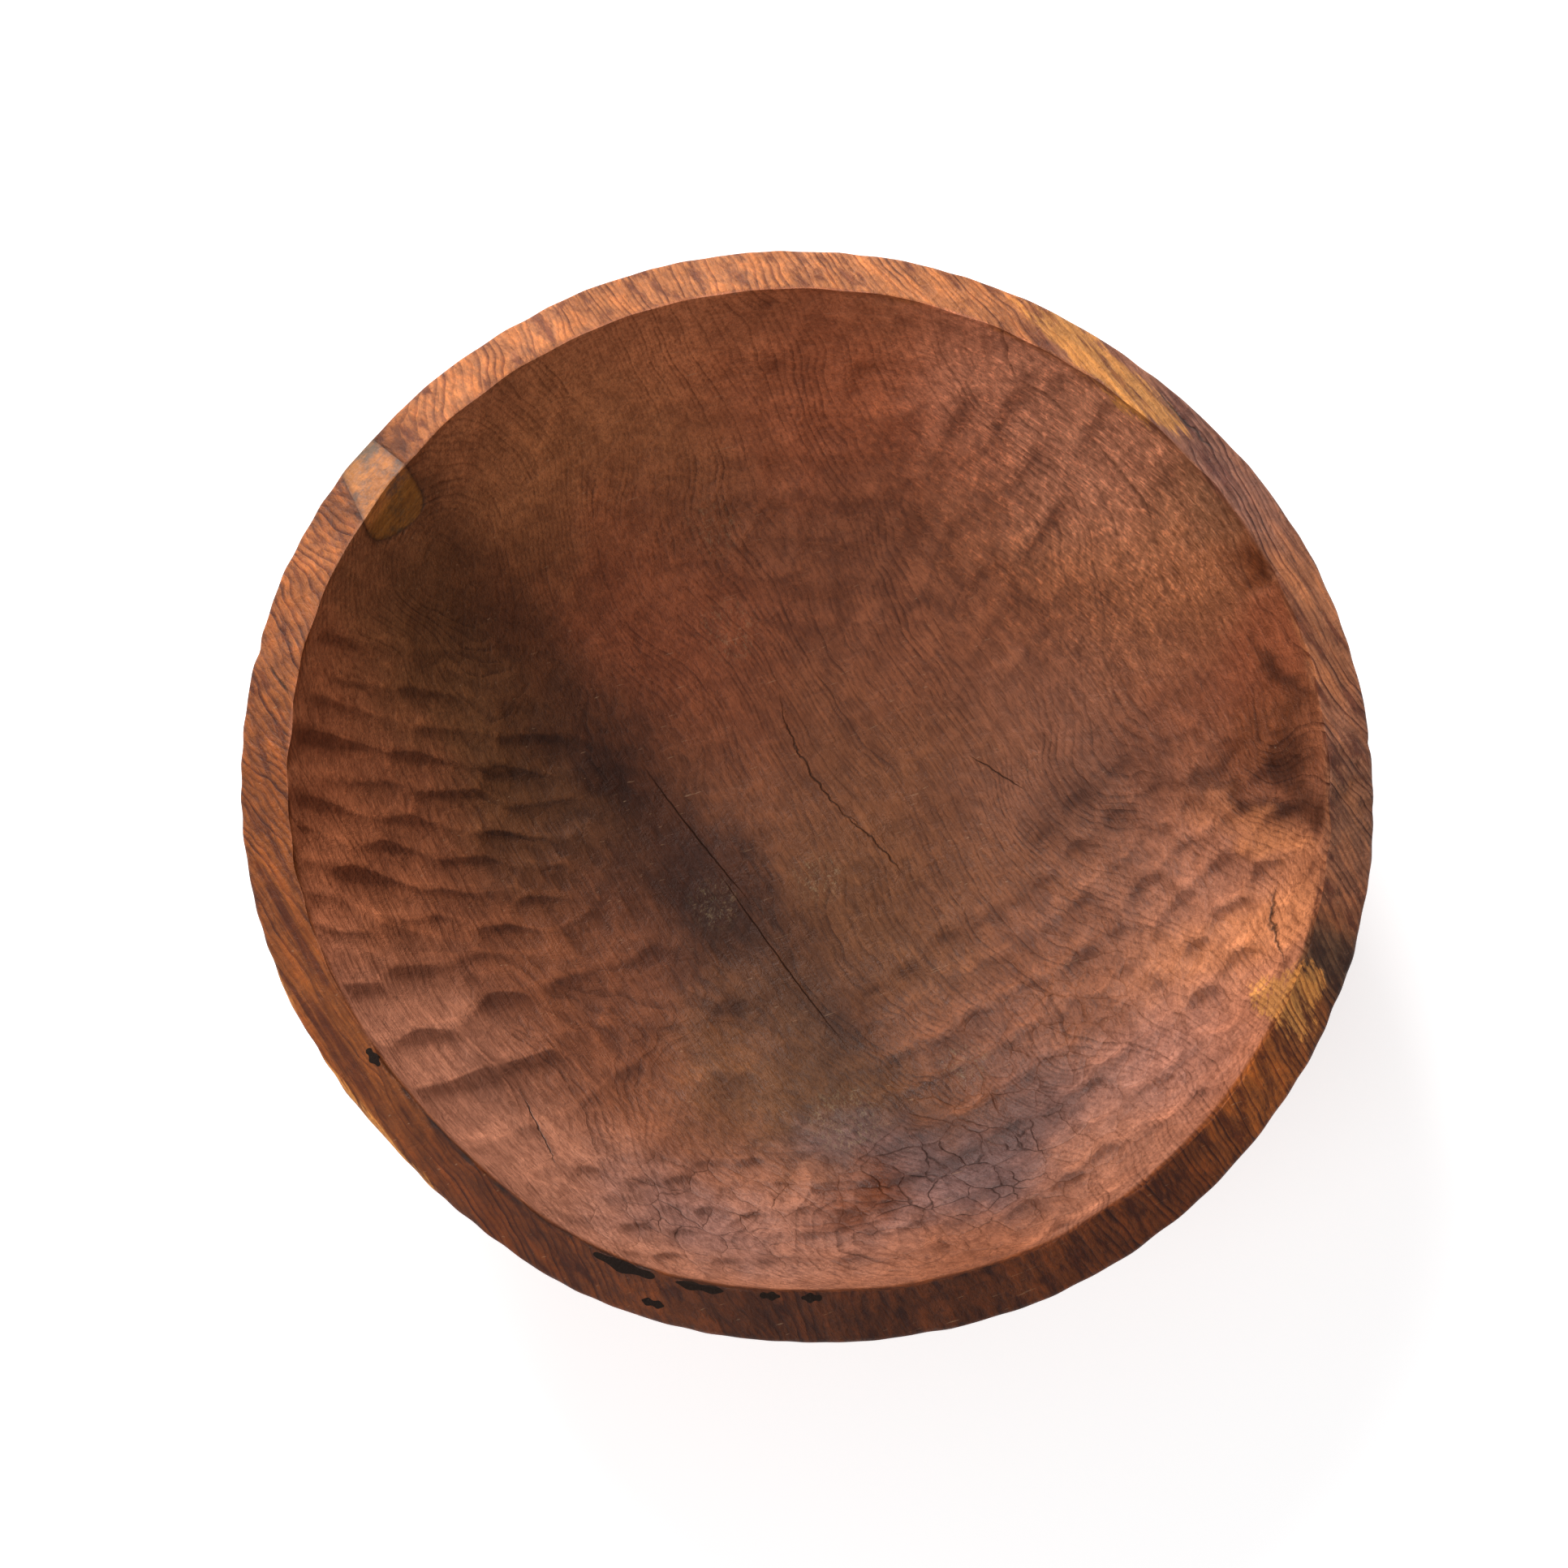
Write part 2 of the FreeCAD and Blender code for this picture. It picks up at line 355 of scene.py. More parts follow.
def carve(x, y, cuts):
    """At every point: depth of the cuts, nearness to a ridge between two, and the place towards the lip."""
    total, strongest, lip = np.ones_like(x), np.ones_like(x), np.zeros_like(x)
    back = math.radians(SHADED_LIP_DIRECTION)
    for cx, cy, turn, half_length, half_width, depth in cuts:
        reach = 1.25 * max(half_length, half_width)
        near = np.nonzero((np.abs(x - cx) < reach) & (np.abs(y - cy) < reach))[0]
        dx, dy = x[near] - cx, y[near] - cy
        u = (dx * math.cos(turn) + dy * math.sin(turn)) / half_length
        v = (dy * math.cos(turn) - dx * math.sin(turn)) / half_width
        weight = np.exp(depth * (1.0 - u * u - v * v + CUT_LEAN * v) / RIDGE_BLEND)
        total[near] += weight
        lip[near] += weight * (u * math.cos(back - turn) + v * math.sin(back - turn))
        strongest[near] = np.maximum(strongest[near], weight)
    depth = RIDGE_BLEND * np.log(total)
    ridge = 2.0 * (1.0 - strongest / total) * np.clip(depth / 1.2, 0.0, 1.0)
    return depth, np.clip(ridge, 0.0, 1.0), lip / total


# ---- the blank
def disc_point(x, y):
    """The point of a disc that answers to a point of a square, so that a square grid becomes round."""
    if x == y == 0.0:
        return 0.0, 0.0
    if abs(x) >= abs(y):
        part = math.pi / 4.0 * (y / x)
        return x * math.cos(part), x * math.sin(part)
    part = math.pi / 4.0 * (x / y)
    return y * math.sin(part), y * math.cos(part)


def flat_stock(section, columns):
    """A flat disc whose radius is the distance along the section: a grid with rings around it."""
    bm = bmesh.new()
    cells = columns // 4
    bmesh.ops.create_grid(bm, x_segments=cells, y_segments=cells, size=CORE_RADIUS)
    for vert in bm.verts:
        vert.co.xy = disc_point(vert.co.x, vert.co.y)
    step = (section.crest - 3.0 - CORE_RADIUS) / HOLLOW_RINGS
    rings = [CORE_RADIUS + step * i for i in range(1, HOLLOW_RINGS + 1)]
    rings += [section.crest + past for past in (-1.6, -0.8, 0.0, 0.8, 1.7)]
    band_start, band_end = section.crest + 3.4, section.edge - 5.4
    rings += [band_start + (band_end - band_start) * i / 5 for i in range(6)]
    rings += [section.edge + past for past in (-3.6, -2.2, -0.9, 0.5, 1.9, 3.6)]
    rim = extend_rings(bm, [e for e in bm.edges if e.is_boundary], CORE_RADIUS, rings)
    return bm, rim, rings[-1]


def extend_rings(bm, rim, radius, rings):
    """Extrudes the open rim of the flat disc outwards to each radius in turn, and returns the new rim."""
    for target in rings:
        grown = bmesh.ops.extrude_edge_only(bm, edges=rim)["geom"]
        verts = [g for g in grown if isinstance(g, bmesh.types.BMVert)]
        rim = [g for g in grown if isinstance(g, bmesh.types.BMEdge) and g.is_boundary]
        bmesh.ops.scale(bm, vec=(target / radius, target / radius, 1.0), verts=verts)
        radius = target
    return rim


def outer_skin(bm, section, rim, start):
    """The outside and the foot, with half as many columns as the hollow."""
    first = start + 4.0
    rim = extend_rings(bm, rim, start, [first])
    ring = sorted({v for e in rim for v in e.verts}, key=lambda v: math.atan2(v.co.y, v.co.x))
    bmesh.ops.weld_verts(bm, targetmap=dict(zip(ring[1::2], ring[0::2])))
    step = (section.foot - 2.0 - first) / OUTER_RINGS
    wall = [first + step * i for i in range(1, OUTER_RINGS + 1)]
    foot = [section.foot + past for past in (0.0, 2.0, 8.0, 20.0, 36.0, 52.0, 66.0, 76.0, 82.0)]
    open_edges = extend_rings(bm, [e for e in bm.edges if e.is_boundary], first, wall + foot)
    bmesh.ops.contextual_create(bm, geom=open_edges)


def blank_mesh(context):
    """The whole bowl with its tool marks, before any pocket is cut, made once and kept until the end."""
    ready = bpy.data.meshes.get("bowl_blank")
    if ready:
        return ready
    shape = context.scene.bowl_shape
    section = Section(shape)
    bm, rim, radius = flat_stock(section, shape.columns)
    outer_skin(bm, section, rim, radius)
    flat = np.array([v.co for v in bm.verts])
    points = carved_points(section, flat, shape.cut_depth)
    for vert, point in zip(bm.verts, points):
        vert.co = point
    bmesh.ops.recalc_face_normals(bm, faces=bm.faces)
    mesh = bpy.data.meshes.new("bowl_blank")
    bm.to_mesh(mesh)
    bm.free()
    return mesh


def carved_points(section, flat, cut_depth):
    """Puts every point of the flat stock on the bowl and carves the tool marks, in metres."""
    s = np.hypot(flat[:, 0], flat[:, 1])
    turn = np.arctan2(flat[:, 1], flat[:, 0])
    radius, height = section.at(s)
    ahead, behind = section.at(np.minimum(s + 0.4, section.end)), section.at(np.maximum(s - 0.4, 0.0))
    tangent = np.hypot(ahead[0] - behind[0], ahead[1] - behind[1]) + 1e-9
    normal_r, normal_z = (behind[1] - ahead[1]) / tangent, (ahead[0] - behind[0]) / tangent
    inside = np.clip((section.edge - s) / section.band, 0.0, 1.0)
    crest_push = crest_swell(turn) * hump(s - section.crest, 22.0)
    hewn = swell(*flat.T[:2], *CREST_WOBBLE) * hump(s - section.crest, WOBBLE_REACH)
    hewn += (swell(*flat.T[:2], *EDGE_WOBBLE) - EDGE_WEAR) * hump(s - section.edge, WOBBLE_REACH)
    radius = radius * (1.0 + outline_share(turn)) + crest_push + hewn
    x = radius * np.cos(turn) + inside * HOLLOW_SHIFT[0]
    y = radius * np.sin(turn) + inside * HOLLOW_SHIFT[1]
    cut = tool_marks(section, s, turn, x, y) * cut_depth
    x, y = x + cut * normal_r * np.cos(turn), y + cut * normal_r * np.sin(turn)
    height = np.maximum(height + cut * normal_z, 0.0)
    return np.column_stack((x, y, height)) * MM


def tool_marks(section, s, turn, x, y):
    """How far the carved surface stands above the plain one, in millimetres."""
    in_hollow = s < section.crest
    depth = carve(x, y, gouge_cuts(section))[0]
    depth = np.where(in_hollow, depth * np.clip((section.crest - s) / RIM_CALM, 0.0, 1.0), 0.0)
    depth += np.where(in_hollow, swell(x, y, *INNER_SWELL), swell(x, y, *OUTER_SWELL))
    skin = carve(turn % math.tau * section.rim_radius, s, adze_cuts(section))[0]
    skin *= np.clip((s - section.edge) / 45.0, 0.1, 1.0)
    below = np.clip((s - section.edge + 6.0) / 8.0, 0.0, 1.0) * np.clip((section.foot - s) / 10.0, 0.0, 1.0)
    depth += below * (skin - 0.2)
    for (px, py), reach, pit in PITS:
        depth += np.where(s < section.edge + 6.0, pit * hump(np.hypot(x - px, y - py), reach), 0.0)
    return -depth


# ---- pockets and pieces
def crest_point(section, degrees, beyond):
    """A point that far outside the crest, in plan."""
    turn = math.radians(degrees)
    distance = section.crest_radius * (1.0 + float(outline_share(np.array([turn]))[0])) + beyond
    distance += float(crest_swell(np.array([turn]))[0])
    return Vector((
        distance * math.cos(turn) + HOLLOW_SHIFT[0], distance * math.sin(turn) + HOLLOW_SHIFT[1], 0.0
    ))


def pocket_tool(section, first, last, width, offset, phase):
    """An upright tool with an uneven lens outline that follows the crest, as a mesh."""
    bm = bmesh.new()
    lens = bmesh.ops.create_circle(bm, cap_ends=True, segments=44, radius=1.0)["verts"]
    bottom = section.height - section.drop * offset / section.rim_band - FILLER_DEPTH
    for vert in lens:
        along, across = vert.co.x, vert.co.y
        uneven = 1.0 + 0.3 * math.sin(6.0 * along + phase)
        angle = (first + last) / 2.0 + along * (last - first) / 2.0
        vert.co = crest_point(section, angle, offset + across * width / 2.0 * uneven)
        vert.co.z = bottom
    top = bmesh.ops.extrude_face_region(bm, geom=bm.faces[:])["geom"]
    lifted = [g for g in top if isinstance(g, bmesh.types.BMVert)]
    bmesh.ops.translate(bm, vec=(0.0, 0.0, FILLER_DEPTH + TOOL_MARGIN), verts=lifted)
    return tool_mesh(bm, "pocket_tool")


def filler_tools(section):
    """One pocket tool for each filler, in the order of the table."""
    return [pocket_tool(section, *lens, 115.0 + 2.3 * i) for i, (_, _, *lens) in enumerate(FILLERS)]


def patch_taper(section):
    """The block's length through the rim, and how much narrower it grows for each millimetre of it."""
    through = section.rim_band / math.cos(math.radians(PATCH_TURN))
    return through, (PATCH_INNER_WIDTH - PATCH_OUTER_WIDTH) / through


def patch_tool(section):
    """The tapered tool with a rounded lower end that cuts the block's place in the wall, as a mesh."""
    bm = bmesh.new()
    ring = bmesh.ops.create_circle(bm, cap_ends=True, segments=48, radius=1.0)["verts"]
    start = crest_point(section, PATCH_ANGLE, 0.0)
    turn = Matrix.Rotation(math.radians(PATCH_ANGLE + PATCH_TURN), 3, "Z")
    through, taper = patch_taper(section)
    reach = through + 14.0
    outline = [(v.co.x, v.co.y) for v in ring]

    def section_points(width, beyond):
        half = width / 2.0
        for across, up in outline:
            if up >= 0.0:
                side = math.copysign(min(1.0, abs(across) * 1.6), across) if across else 0.0
                z = section.height - PATCH_SHOULDER + up * (PATCH_SHOULDER + TOOL_MARGIN)
                yield turn @ Vector((beyond, side * half, z)) + start
            else:
                tip = PATCH_TIP_OFFSET * width / PATCH_INNER_WIDTH * (up * up)
                z = section.height - PATCH_SHOULDER + up * (PATCH_DEPTH - PATCH_SHOULDER)
                yield turn @ Vector((beyond, across * half + tip, z)) + start

    for vert, point in zip(ring, section_points(PATCH_INNER_WIDTH + taper * reach, -reach)):
        vert.co = point
    far = bmesh.ops.extrude_face_region(bm, geom=bm.faces[:])["geom"]
    far_verts = [g for g in far if isinstance(g, bmesh.types.BMVert)]
    shrink = (PATCH_INNER_WIDTH - taper * reach) / (PATCH_INNER_WIDTH + taper * reach)
    for vert in far_verts:
        local = turn.transposed() @ (vert.co - start)
        vert.co = turn @ Vector((reach, local.y * shrink, local.z)) + start
    return tool_mesh(bm, "patch_tool")


def tool_mesh(bm, name):
    """Finishes a cutting tool: normals outwards, and in metres."""
    bmesh.ops.scale(bm, vec=(MM, MM, MM), verts=bm.verts)
    bmesh.ops.recalc_face_normals(bm, faces=bm.faces)
    mesh = bpy.data.meshes.new(name)
    bm.to_mesh(mesh)
    bm.free()
    return mesh


def cut_mesh(context, mesh, tools, operation, name):
    """The mesh less the tools, or what it shares with them."""
    blank = bpy.data.objects.new("blank", mesh.copy())
    context.scene.collection.objects.link(blank)
    helpers = []
    for i, tool in enumerate(tools):
        helper = bpy.data.objects.new(f"tool_{i}", tool)
        context.scene.collection.objects.link(helper)
        helpers.append(helper)
        cutter = blank.modifiers.new(f"cut_{i}", "BOOLEAN")
        cutter.operation, cutter.object, cutter.solver = operation, helper, "MANIFOLD"
    context.view_layer.update()
    result = bpy.data.meshes.new_from_object(blank.evaluated_get(context.evaluated_depsgraph_get()))
    result.name = name
    for helper in [blank, *helpers]:
        bpy.data.objects.remove(helper)
    if not result.polygons:
        raise RuntimeError(f"{name} came out empty")
    return result


def finished_piece(context, mesh, name, node, material, sharp_angle):
    """Links a finished mesh as a piece that rides on the bowl and stands for its CAD node."""
    mesh.name = name
    mesh.materials.clear()
    mesh.materials.append(material)
    mesh.shade_smooth()
    mesh.set_sharp_from_angle(angle=math.radians(sharp_angle))
    piece = bpy.data.objects.new(name, mesh)
    context.scene.collection.objects.link(piece)
    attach(piece, "root")
    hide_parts(node)


# ---- colour of the surface
# Patches of colour, painted in this order on the hollow and the band:
# colour, (middle x, y), (half length, half width), direction, strength
# The rosy patches are painted sheen on the near and right walls and painted light on the far right wall,
# the lilac ones painted sheen on the near wall; the first two olive ones, under the far left rim,
# are partly oil-darkened wood and partly painted shade.
PATINA_AND_PAINTED_LIGHT = (
    ("olive", (-120, 120), (110, 70), 45, 0.7), ("olive", (-150, 60), (80, 40), -50, 0.6),
    ("red_heart", (-70, 95), (62, 60), 0, 0.7), ("red_heart", (-30, 60), (60, 40), -50, 0.35),
    ("olive", (-130, 10), (50, 45), -60, 0.4),
    ("rosy_sheen", (-165, -130), (80, 44), -45, 0.7), ("olive", (150, 140), (60, 80), 40, 0.45),
    ("red_heart", (30, 190), (70, 40), 0, 0.5), ("red_heart", (70, 30), (110, 60), -40, 0.25),
    ("olive", (40, 0), (110, 80), -20, 0.5), ("olive", (20, -60), (60, 50), -50, 0.45),
    ("rosy_sheen", (180, -60), (70, 60), -60, 0.65), ("rosy_sheen", (120, -150), (70, 50), -50, 0.75),
    ("rosy_sheen", (-30, -196), (110, 44), 0, 0.85), ("honey", (205, -65), (24, 50), -80, 0.55),
    ("rosy_sheen", (130, 40), (50, 45), 0, 0.3), ("red_heart", (210, 60), (26, 50), -70, 0.6),
    ("rosy_sheen", (-110, -172), (80, 40), -35, 0.7), ("olive", (0, -130), (70, 30), -10, 0.6),
    ("stain", (-60, -10), (175, 44), -52, 0.42), ("stain", (-150, 100), (50, 24), -48, 0.5),
    ("stain", (-50, -14), (112, 26), -54, 0.62), ("stain", (-93, 28), (26, 14), -35, 0.7),
    ("stain", (-47, -21), (34, 17), -50, 0.65), ("stain", (21, -89), (26, 15), -40, 0.5),
    ("stain", (14, -140), (34, 18), -50, 0.45), ("olive", (-10, -110), (60, 40), -50, 0.5),
    ("lilac_sheen", (62, -168), (56, 26), 20, 0.75), ("lilac_sheen", (96, -140), (34, 24), 50, 0.5),
    ("lilac_sheen", (-50, -190), (44, 22), -20, 0.5), ("lilac_sheen", (20, -150), (34, 12), 0, 0.5),
    ("lilac_sheen", (150, -120), (40, 30), 50, 0.35), ("umber", (25, -178), (14, 20), -60, 0.9),
    ("stain", (219, 10), (30, 7), -82, 0.8), ("stain", (203, -4), (34, 6), -32, 0.8),
    ("stain", (190, 18), (16, 4), 38, 0.7), ("stain", (213, 52), (22, 5), -64, 0.7),
    ("umber", (204, 22), (20, 24), 0, 0.5), ("honey", (202, -18), (26, 8), -40, 0.6),
    ("rosy_sheen", (112, 178), (70, 42), -40, 0.6), ("slate", (185, 128), (34, 16), -52, 0.55),
    ("umber", (206, 110), (22, 12), -62, 0.7), ("umber", (199, 96), (16, 5), -25, 0.8),
)
# Painted light and shade: how much lighter or darker the hollow is made in spots, lighter on the walls,
# darker nearer the floor: (middle x, y), (half length, half width), direction, change
PAINTED_LIGHT_AND_SHADE = (
    ((140, 168), (100, 62), -45, 0.9), ((0, 208), (90, 44), 0, 0.6), ((-130, 170), (90, 56), 38, 0.8),
    ((-214, 10), (28, 100), 0, 0.8), ((-182, -132), (80, 36), -48, 0.4), ((186, -106), (90, 46), 60, 0.65),
    ((70, 20), (130, 90), -20, -0.14), ((-80, -70), (80, 56), -35, -0.25), ((-105, 0), (40, 60), 0, -0.3),
    ((80, -130), (50, 44), 30, -0.3), ((150, 22), (46, 50), 0, -0.3), ((178, 4), (26, 34), 0, 0.4),
    ((-10, -206), (130, 40), 0, 0.35),
)


def spot(x, y, middle, halves, turn):
    """A soft oval spot."""
    dx, dy = x - middle[0], y - middle[1]
    c, s = math.cos(math.radians(turn)), math.sin(math.radians(turn))
    u, v = (dx * c + dy * s) / halves[0], (dy * c - dx * s) / halves[1]
    return np.exp(-(u * u + v * v) ** 1.5)


# Stretches of the band: colour, first and last direction, softness in degrees, strength.
# Umber from 222 to 318 degrees, on the near band, is partly handling dirt and partly painted shade;
# rosy from -16 to 62 degrees and honey from 8 to 26 are painted light, and lilac is painted sheen.
BAND_PATINA_AND_PAINTED_LIGHT = (
    ("honey", 60, 140, 12, 0.9), ("umber", 166, 225, 8, 0.35), ("honey", 150, 172, 6, 0.3),
    ("umber", 222, 318, 6, 0.95), ("stain", 256, 292, 6, 0.5), ("umber", 160, 168, 5, 0.3),
    ("rosy_sheen", -16, 62, 6, 0.75), ("lilac_sheen", 28, 50, 6, 0.3), ("honey", 8, 26, 5, 0.4),
    ("olive", -14, 2, 5, 0.2),
    ("slate", 336, 343, 2.0, 0.95), ("slate", 329, 336, 3, 0.35), ("slate", 352, 362, 3, 0.35),
    ("stain", 139.4, 142.4, 1.0, 0.4), ("stain", 148.6, 152.4, 1.2, 0.4),
)
# Sapwood: (middle x, y), (half length, half width), direction
SAPWOOD = (
    ((132, 192), (42, 7), -40), ((150, 176), (26, 8), -42), ((118, 212), (16, 5), -35),
    ((207, -104), (16, 9), -60), ((216, -94), (8, 7), -60),
    ((-218, -124), (60, 3.5), -48), ((-236, -84), (22, 3.5), -62), ((-180, -168), (40, 3), -44),
)
# Masks of the hollow, as soft ovals: (middle x, y), (half length, half width), direction, strength
MASKS = {
    "torn_fibre": (((118, 158), (92, 62), -48, 1.0), ((150, 110), (60, 40), -40, 0.5)),
    "checks": (((70, -165), (48, 34), 20, 1.0), ((-40, -188), (46, 26), -15, 0.7)),
    "facets": (((125, -135), (120, 74), 55, 1.0), ((-30, -195), (100, 44), 0, 0.8)),
    "bloom": (((90, -150), (110, 60), 25, 1.0), ((-60, -180), (80, 40), -20, 0.5)),
}
# Whorls that close the growth rings into ovals: (middle x, y, z), reach, push
WHORLS = (
    ((-82, 131, 65), 44, 24), ((-190, 41, 101), 36, 20), ((-23, -180, 87), 26, 14),
    ((109, -110, 63), 30, 14), ((174, 80, 99), 44, 18), ((-184, 71, 103), 20, 10),
    ((118, 20, 40), 60, 22), ((207, 21, 117), 26, 18), ((-60, 60, 30), 50, -16), ((120, 150, 90), 60, -20),
)
# Dark line on the band beside the crest between these directions: painted shade, with the cracks along it
CREST_CRACK_AND_SHADE_SPAN = (214.0, 262.0)     # a dark line lies in the corner under the crest between these directions


def stretch(turn, first, last, soft):
    """1 between two directions, fading over a few degrees."""
    middle, half = (first + last) / 2.0, (last - first) / 2.0
    away = np.abs(np.degrees(turn_gap(turn, middle)))
    return 1.0 / (1.0 + np.exp((away - half) / soft * 3.0))


def patch_joint(section, x, y, z):
    """1 at the block's joint with the body, falling away over about a millimetre and a half."""
    start = crest_point(section, PATCH_ANGLE, 0.0)
    turn = math.radians(PATCH_ANGLE + PATCH_TURN)
    beyond = (x - start.x) * math.cos(turn) + (y - start.y) * math.sin(turn)
    across = (y - start.y) * math.cos(turn) - (x - start.x) * math.sin(turn)
    width = PATCH_INNER_WIDTH - patch_taper(section)[1] * beyond
    down = np.clip((section.height - PATCH_SHOULDER - z) / (PATCH_DEPTH - PATCH_SHOULDER), 0.0, 1.0)
    shift = PATCH_TIP_OFFSET * width / PATCH_INNER_WIDTH * down ** 2
    half = width / 2.0 * np.sqrt(np.clip(1.0 - down ** 2, 0.0, 1.0))
    gap = np.where(down < 0.98, np.abs(across - shift) - half, 9.0)
    return hump(gap, 1.1) * (np.abs(beyond) < 60.0)


def write_attribute(mesh, name, values):
    """Stores one number per point, or one colour per point, on the mesh."""
    if values.ndim == 1:
        layer = mesh.attributes.new(name, "FLOAT", "POINT")
        layer.data.foreach_set("value", values.astype(np.float32))
    else:
        layer = mesh.attributes.new(name, "FLOAT_COLOR", "POINT")
        rgba = np.column_stack((values, np.ones(len(values))))
        layer.data.foreach_set("color", rgba.astype(np.float32).ravel())


def wobbled(value, x, y, seed):
    """A coordinate that wavers, so that painted edges come out uneven."""
    swells = ((7.0, 70.0, 0), (3.0, 17.0, 2), (1.4, 7.0, 4))
    return value + sum(much * ripple(x, y, wavelength, seed + past) for much, wavelength, past in swells)


def paint(context, mesh):
    """Stores the colours and masks of the old surface on the carved body, from where each point lies."""
    section = Section(context.scene.bowl_shape)
    points = np.empty(len(mesh.vertices) * 3)
    mesh.vertices.foreach_get("co", points)
    x, y, z = points.reshape(-1, 3).T / MM
    turn = np.arctan2(y, x)
    reach = np.hypot(x, y) / (1.0 + outline_share(turn))
    past_crest = reach - section.crest_radius - crest_swell(turn)
    high = np.clip((z - section.edge_z + 5.0) / 3.0, 0.0, 1.0)
    on_band = np.clip((past_crest + 1.0) / 1.4, 0.0, 1.0) * high
    skin_r, skin_z = section.outside[1](np.linspace(0.0, section.outside[0], 200))
    outside = np.clip((reach - np.interp(z, skin_z, skin_r) + 14.0) / 4.0, 0.0, 1.0) * (1.0 - on_band)
    outside = np.where(z < 3.0, 1.0, outside)
    write_attribute(mesh, "band", on_band)
    write_attribute(mesh, "outside", outside)

    dirty = outside * (0.55 + 0.25 * ripple(x + z, y - z, 80.0, 41))
    write_attribute(mesh, "patina_and_painted_light", patina_and_painted_light(context.scene.bowl_finish, x, y, turn, on_band, dirty))
    write_attribute(mesh, "sapwood", np.clip(sum(spot(x, y, *patch) for patch in SAPWOOD), 0.0, 1.0))
    whorl = sum(
        push * hump(np.sqrt((x - cx) ** 2 + (y - cy) ** 2 + (z - cz) ** 2), size)
        for (cx, cy, cz), size, push in WHORLS
    )
    write_attribute(mesh, "whorl", whorl)

    hollow = (1.0 - outside) * (1.0 - on_band)
    calm = np.clip((-past_crest - 0.5) / 3.0, 0.0, 1.0) * hollow
    depth, ridge, lip = carve(x, y, gouge_cuts(section))
    # painted shade and highlight in the cuts' ridges and lips: dark on one side, bright on the other
    shade_or_highlight_side = np.clip((x + 50.0) / 50.0, -1.0, 1.0)
    write_attribute(mesh, "ridge", ridge * calm * shade_or_highlight_side)
    write_attribute(mesh, "lip", lip * calm * np.clip(depth / 1.6, 0.0, 1.0))
    for name, ovals in MASKS.items():
        share = sum(strength * spot(x, y, *oval) for *oval, strength in ovals)
        write_attribute(mesh, name, np.clip(share, 0.0, 1.0) * (calm if name == "facets" else hollow))
    # painted shade beside the crest, with the cracks along it, and the block's dark joint
    crest_shade_crack_and_joint = hump(past_crest - 0.9, 1.1) * stretch(turn, *CREST_CRACK_AND_SHADE_SPAN, 1.5) * (0.6 + 0.5 * ripple(x, y, 12.0, 61))
    crest_shade_crack_and_joint = np.maximum(crest_shade_crack_and_joint, 0.7 * patch_joint(section, x, y, z))
    write_attribute(mesh, "crest_shade_crack_and_joint", np.clip(crest_shade_crack_and_joint, 0.0, 1.0))


def patina_and_painted_light(finish, x, y, turn, on_band, dirty):
    """The base colour of every point: the hollow's patches, then the band's stretches, then the outside."""
    colour = np.tile(np.array(finish.heartwood), (len(x), 1))
    uneven = wobbled(x, x, y, 31), wobbled(y, x, y, 32)

    def lay(name, share):
        nonlocal colour
        share = np.clip(share, 0.0, 1.0)[:, None]
        colour = colour * (1.0 - share) + np.array(getattr(finish, name)) * share

    for name, *oval, strength in PATINA_AND_PAINTED_LIGHT:
        lay(name, strength * spot(*uneven, *oval) * (1.0 - on_band))
    # spots of painted light and shade on the hollow
    for *oval, change in PAINTED_LIGHT_AND_SHADE:
        colour = colour * (1.0 + change * spot(*uneven, *oval) * (1.0 - on_band))[:, None]
    lay("band_wood", on_band)
    for name, first, last, soft, strength in BAND_PATINA_AND_PAINTED_LIGHT:
        lay(name, strength * stretch(turn, first, last, soft) * on_band)
    lay("umber", dirty)
    return colour


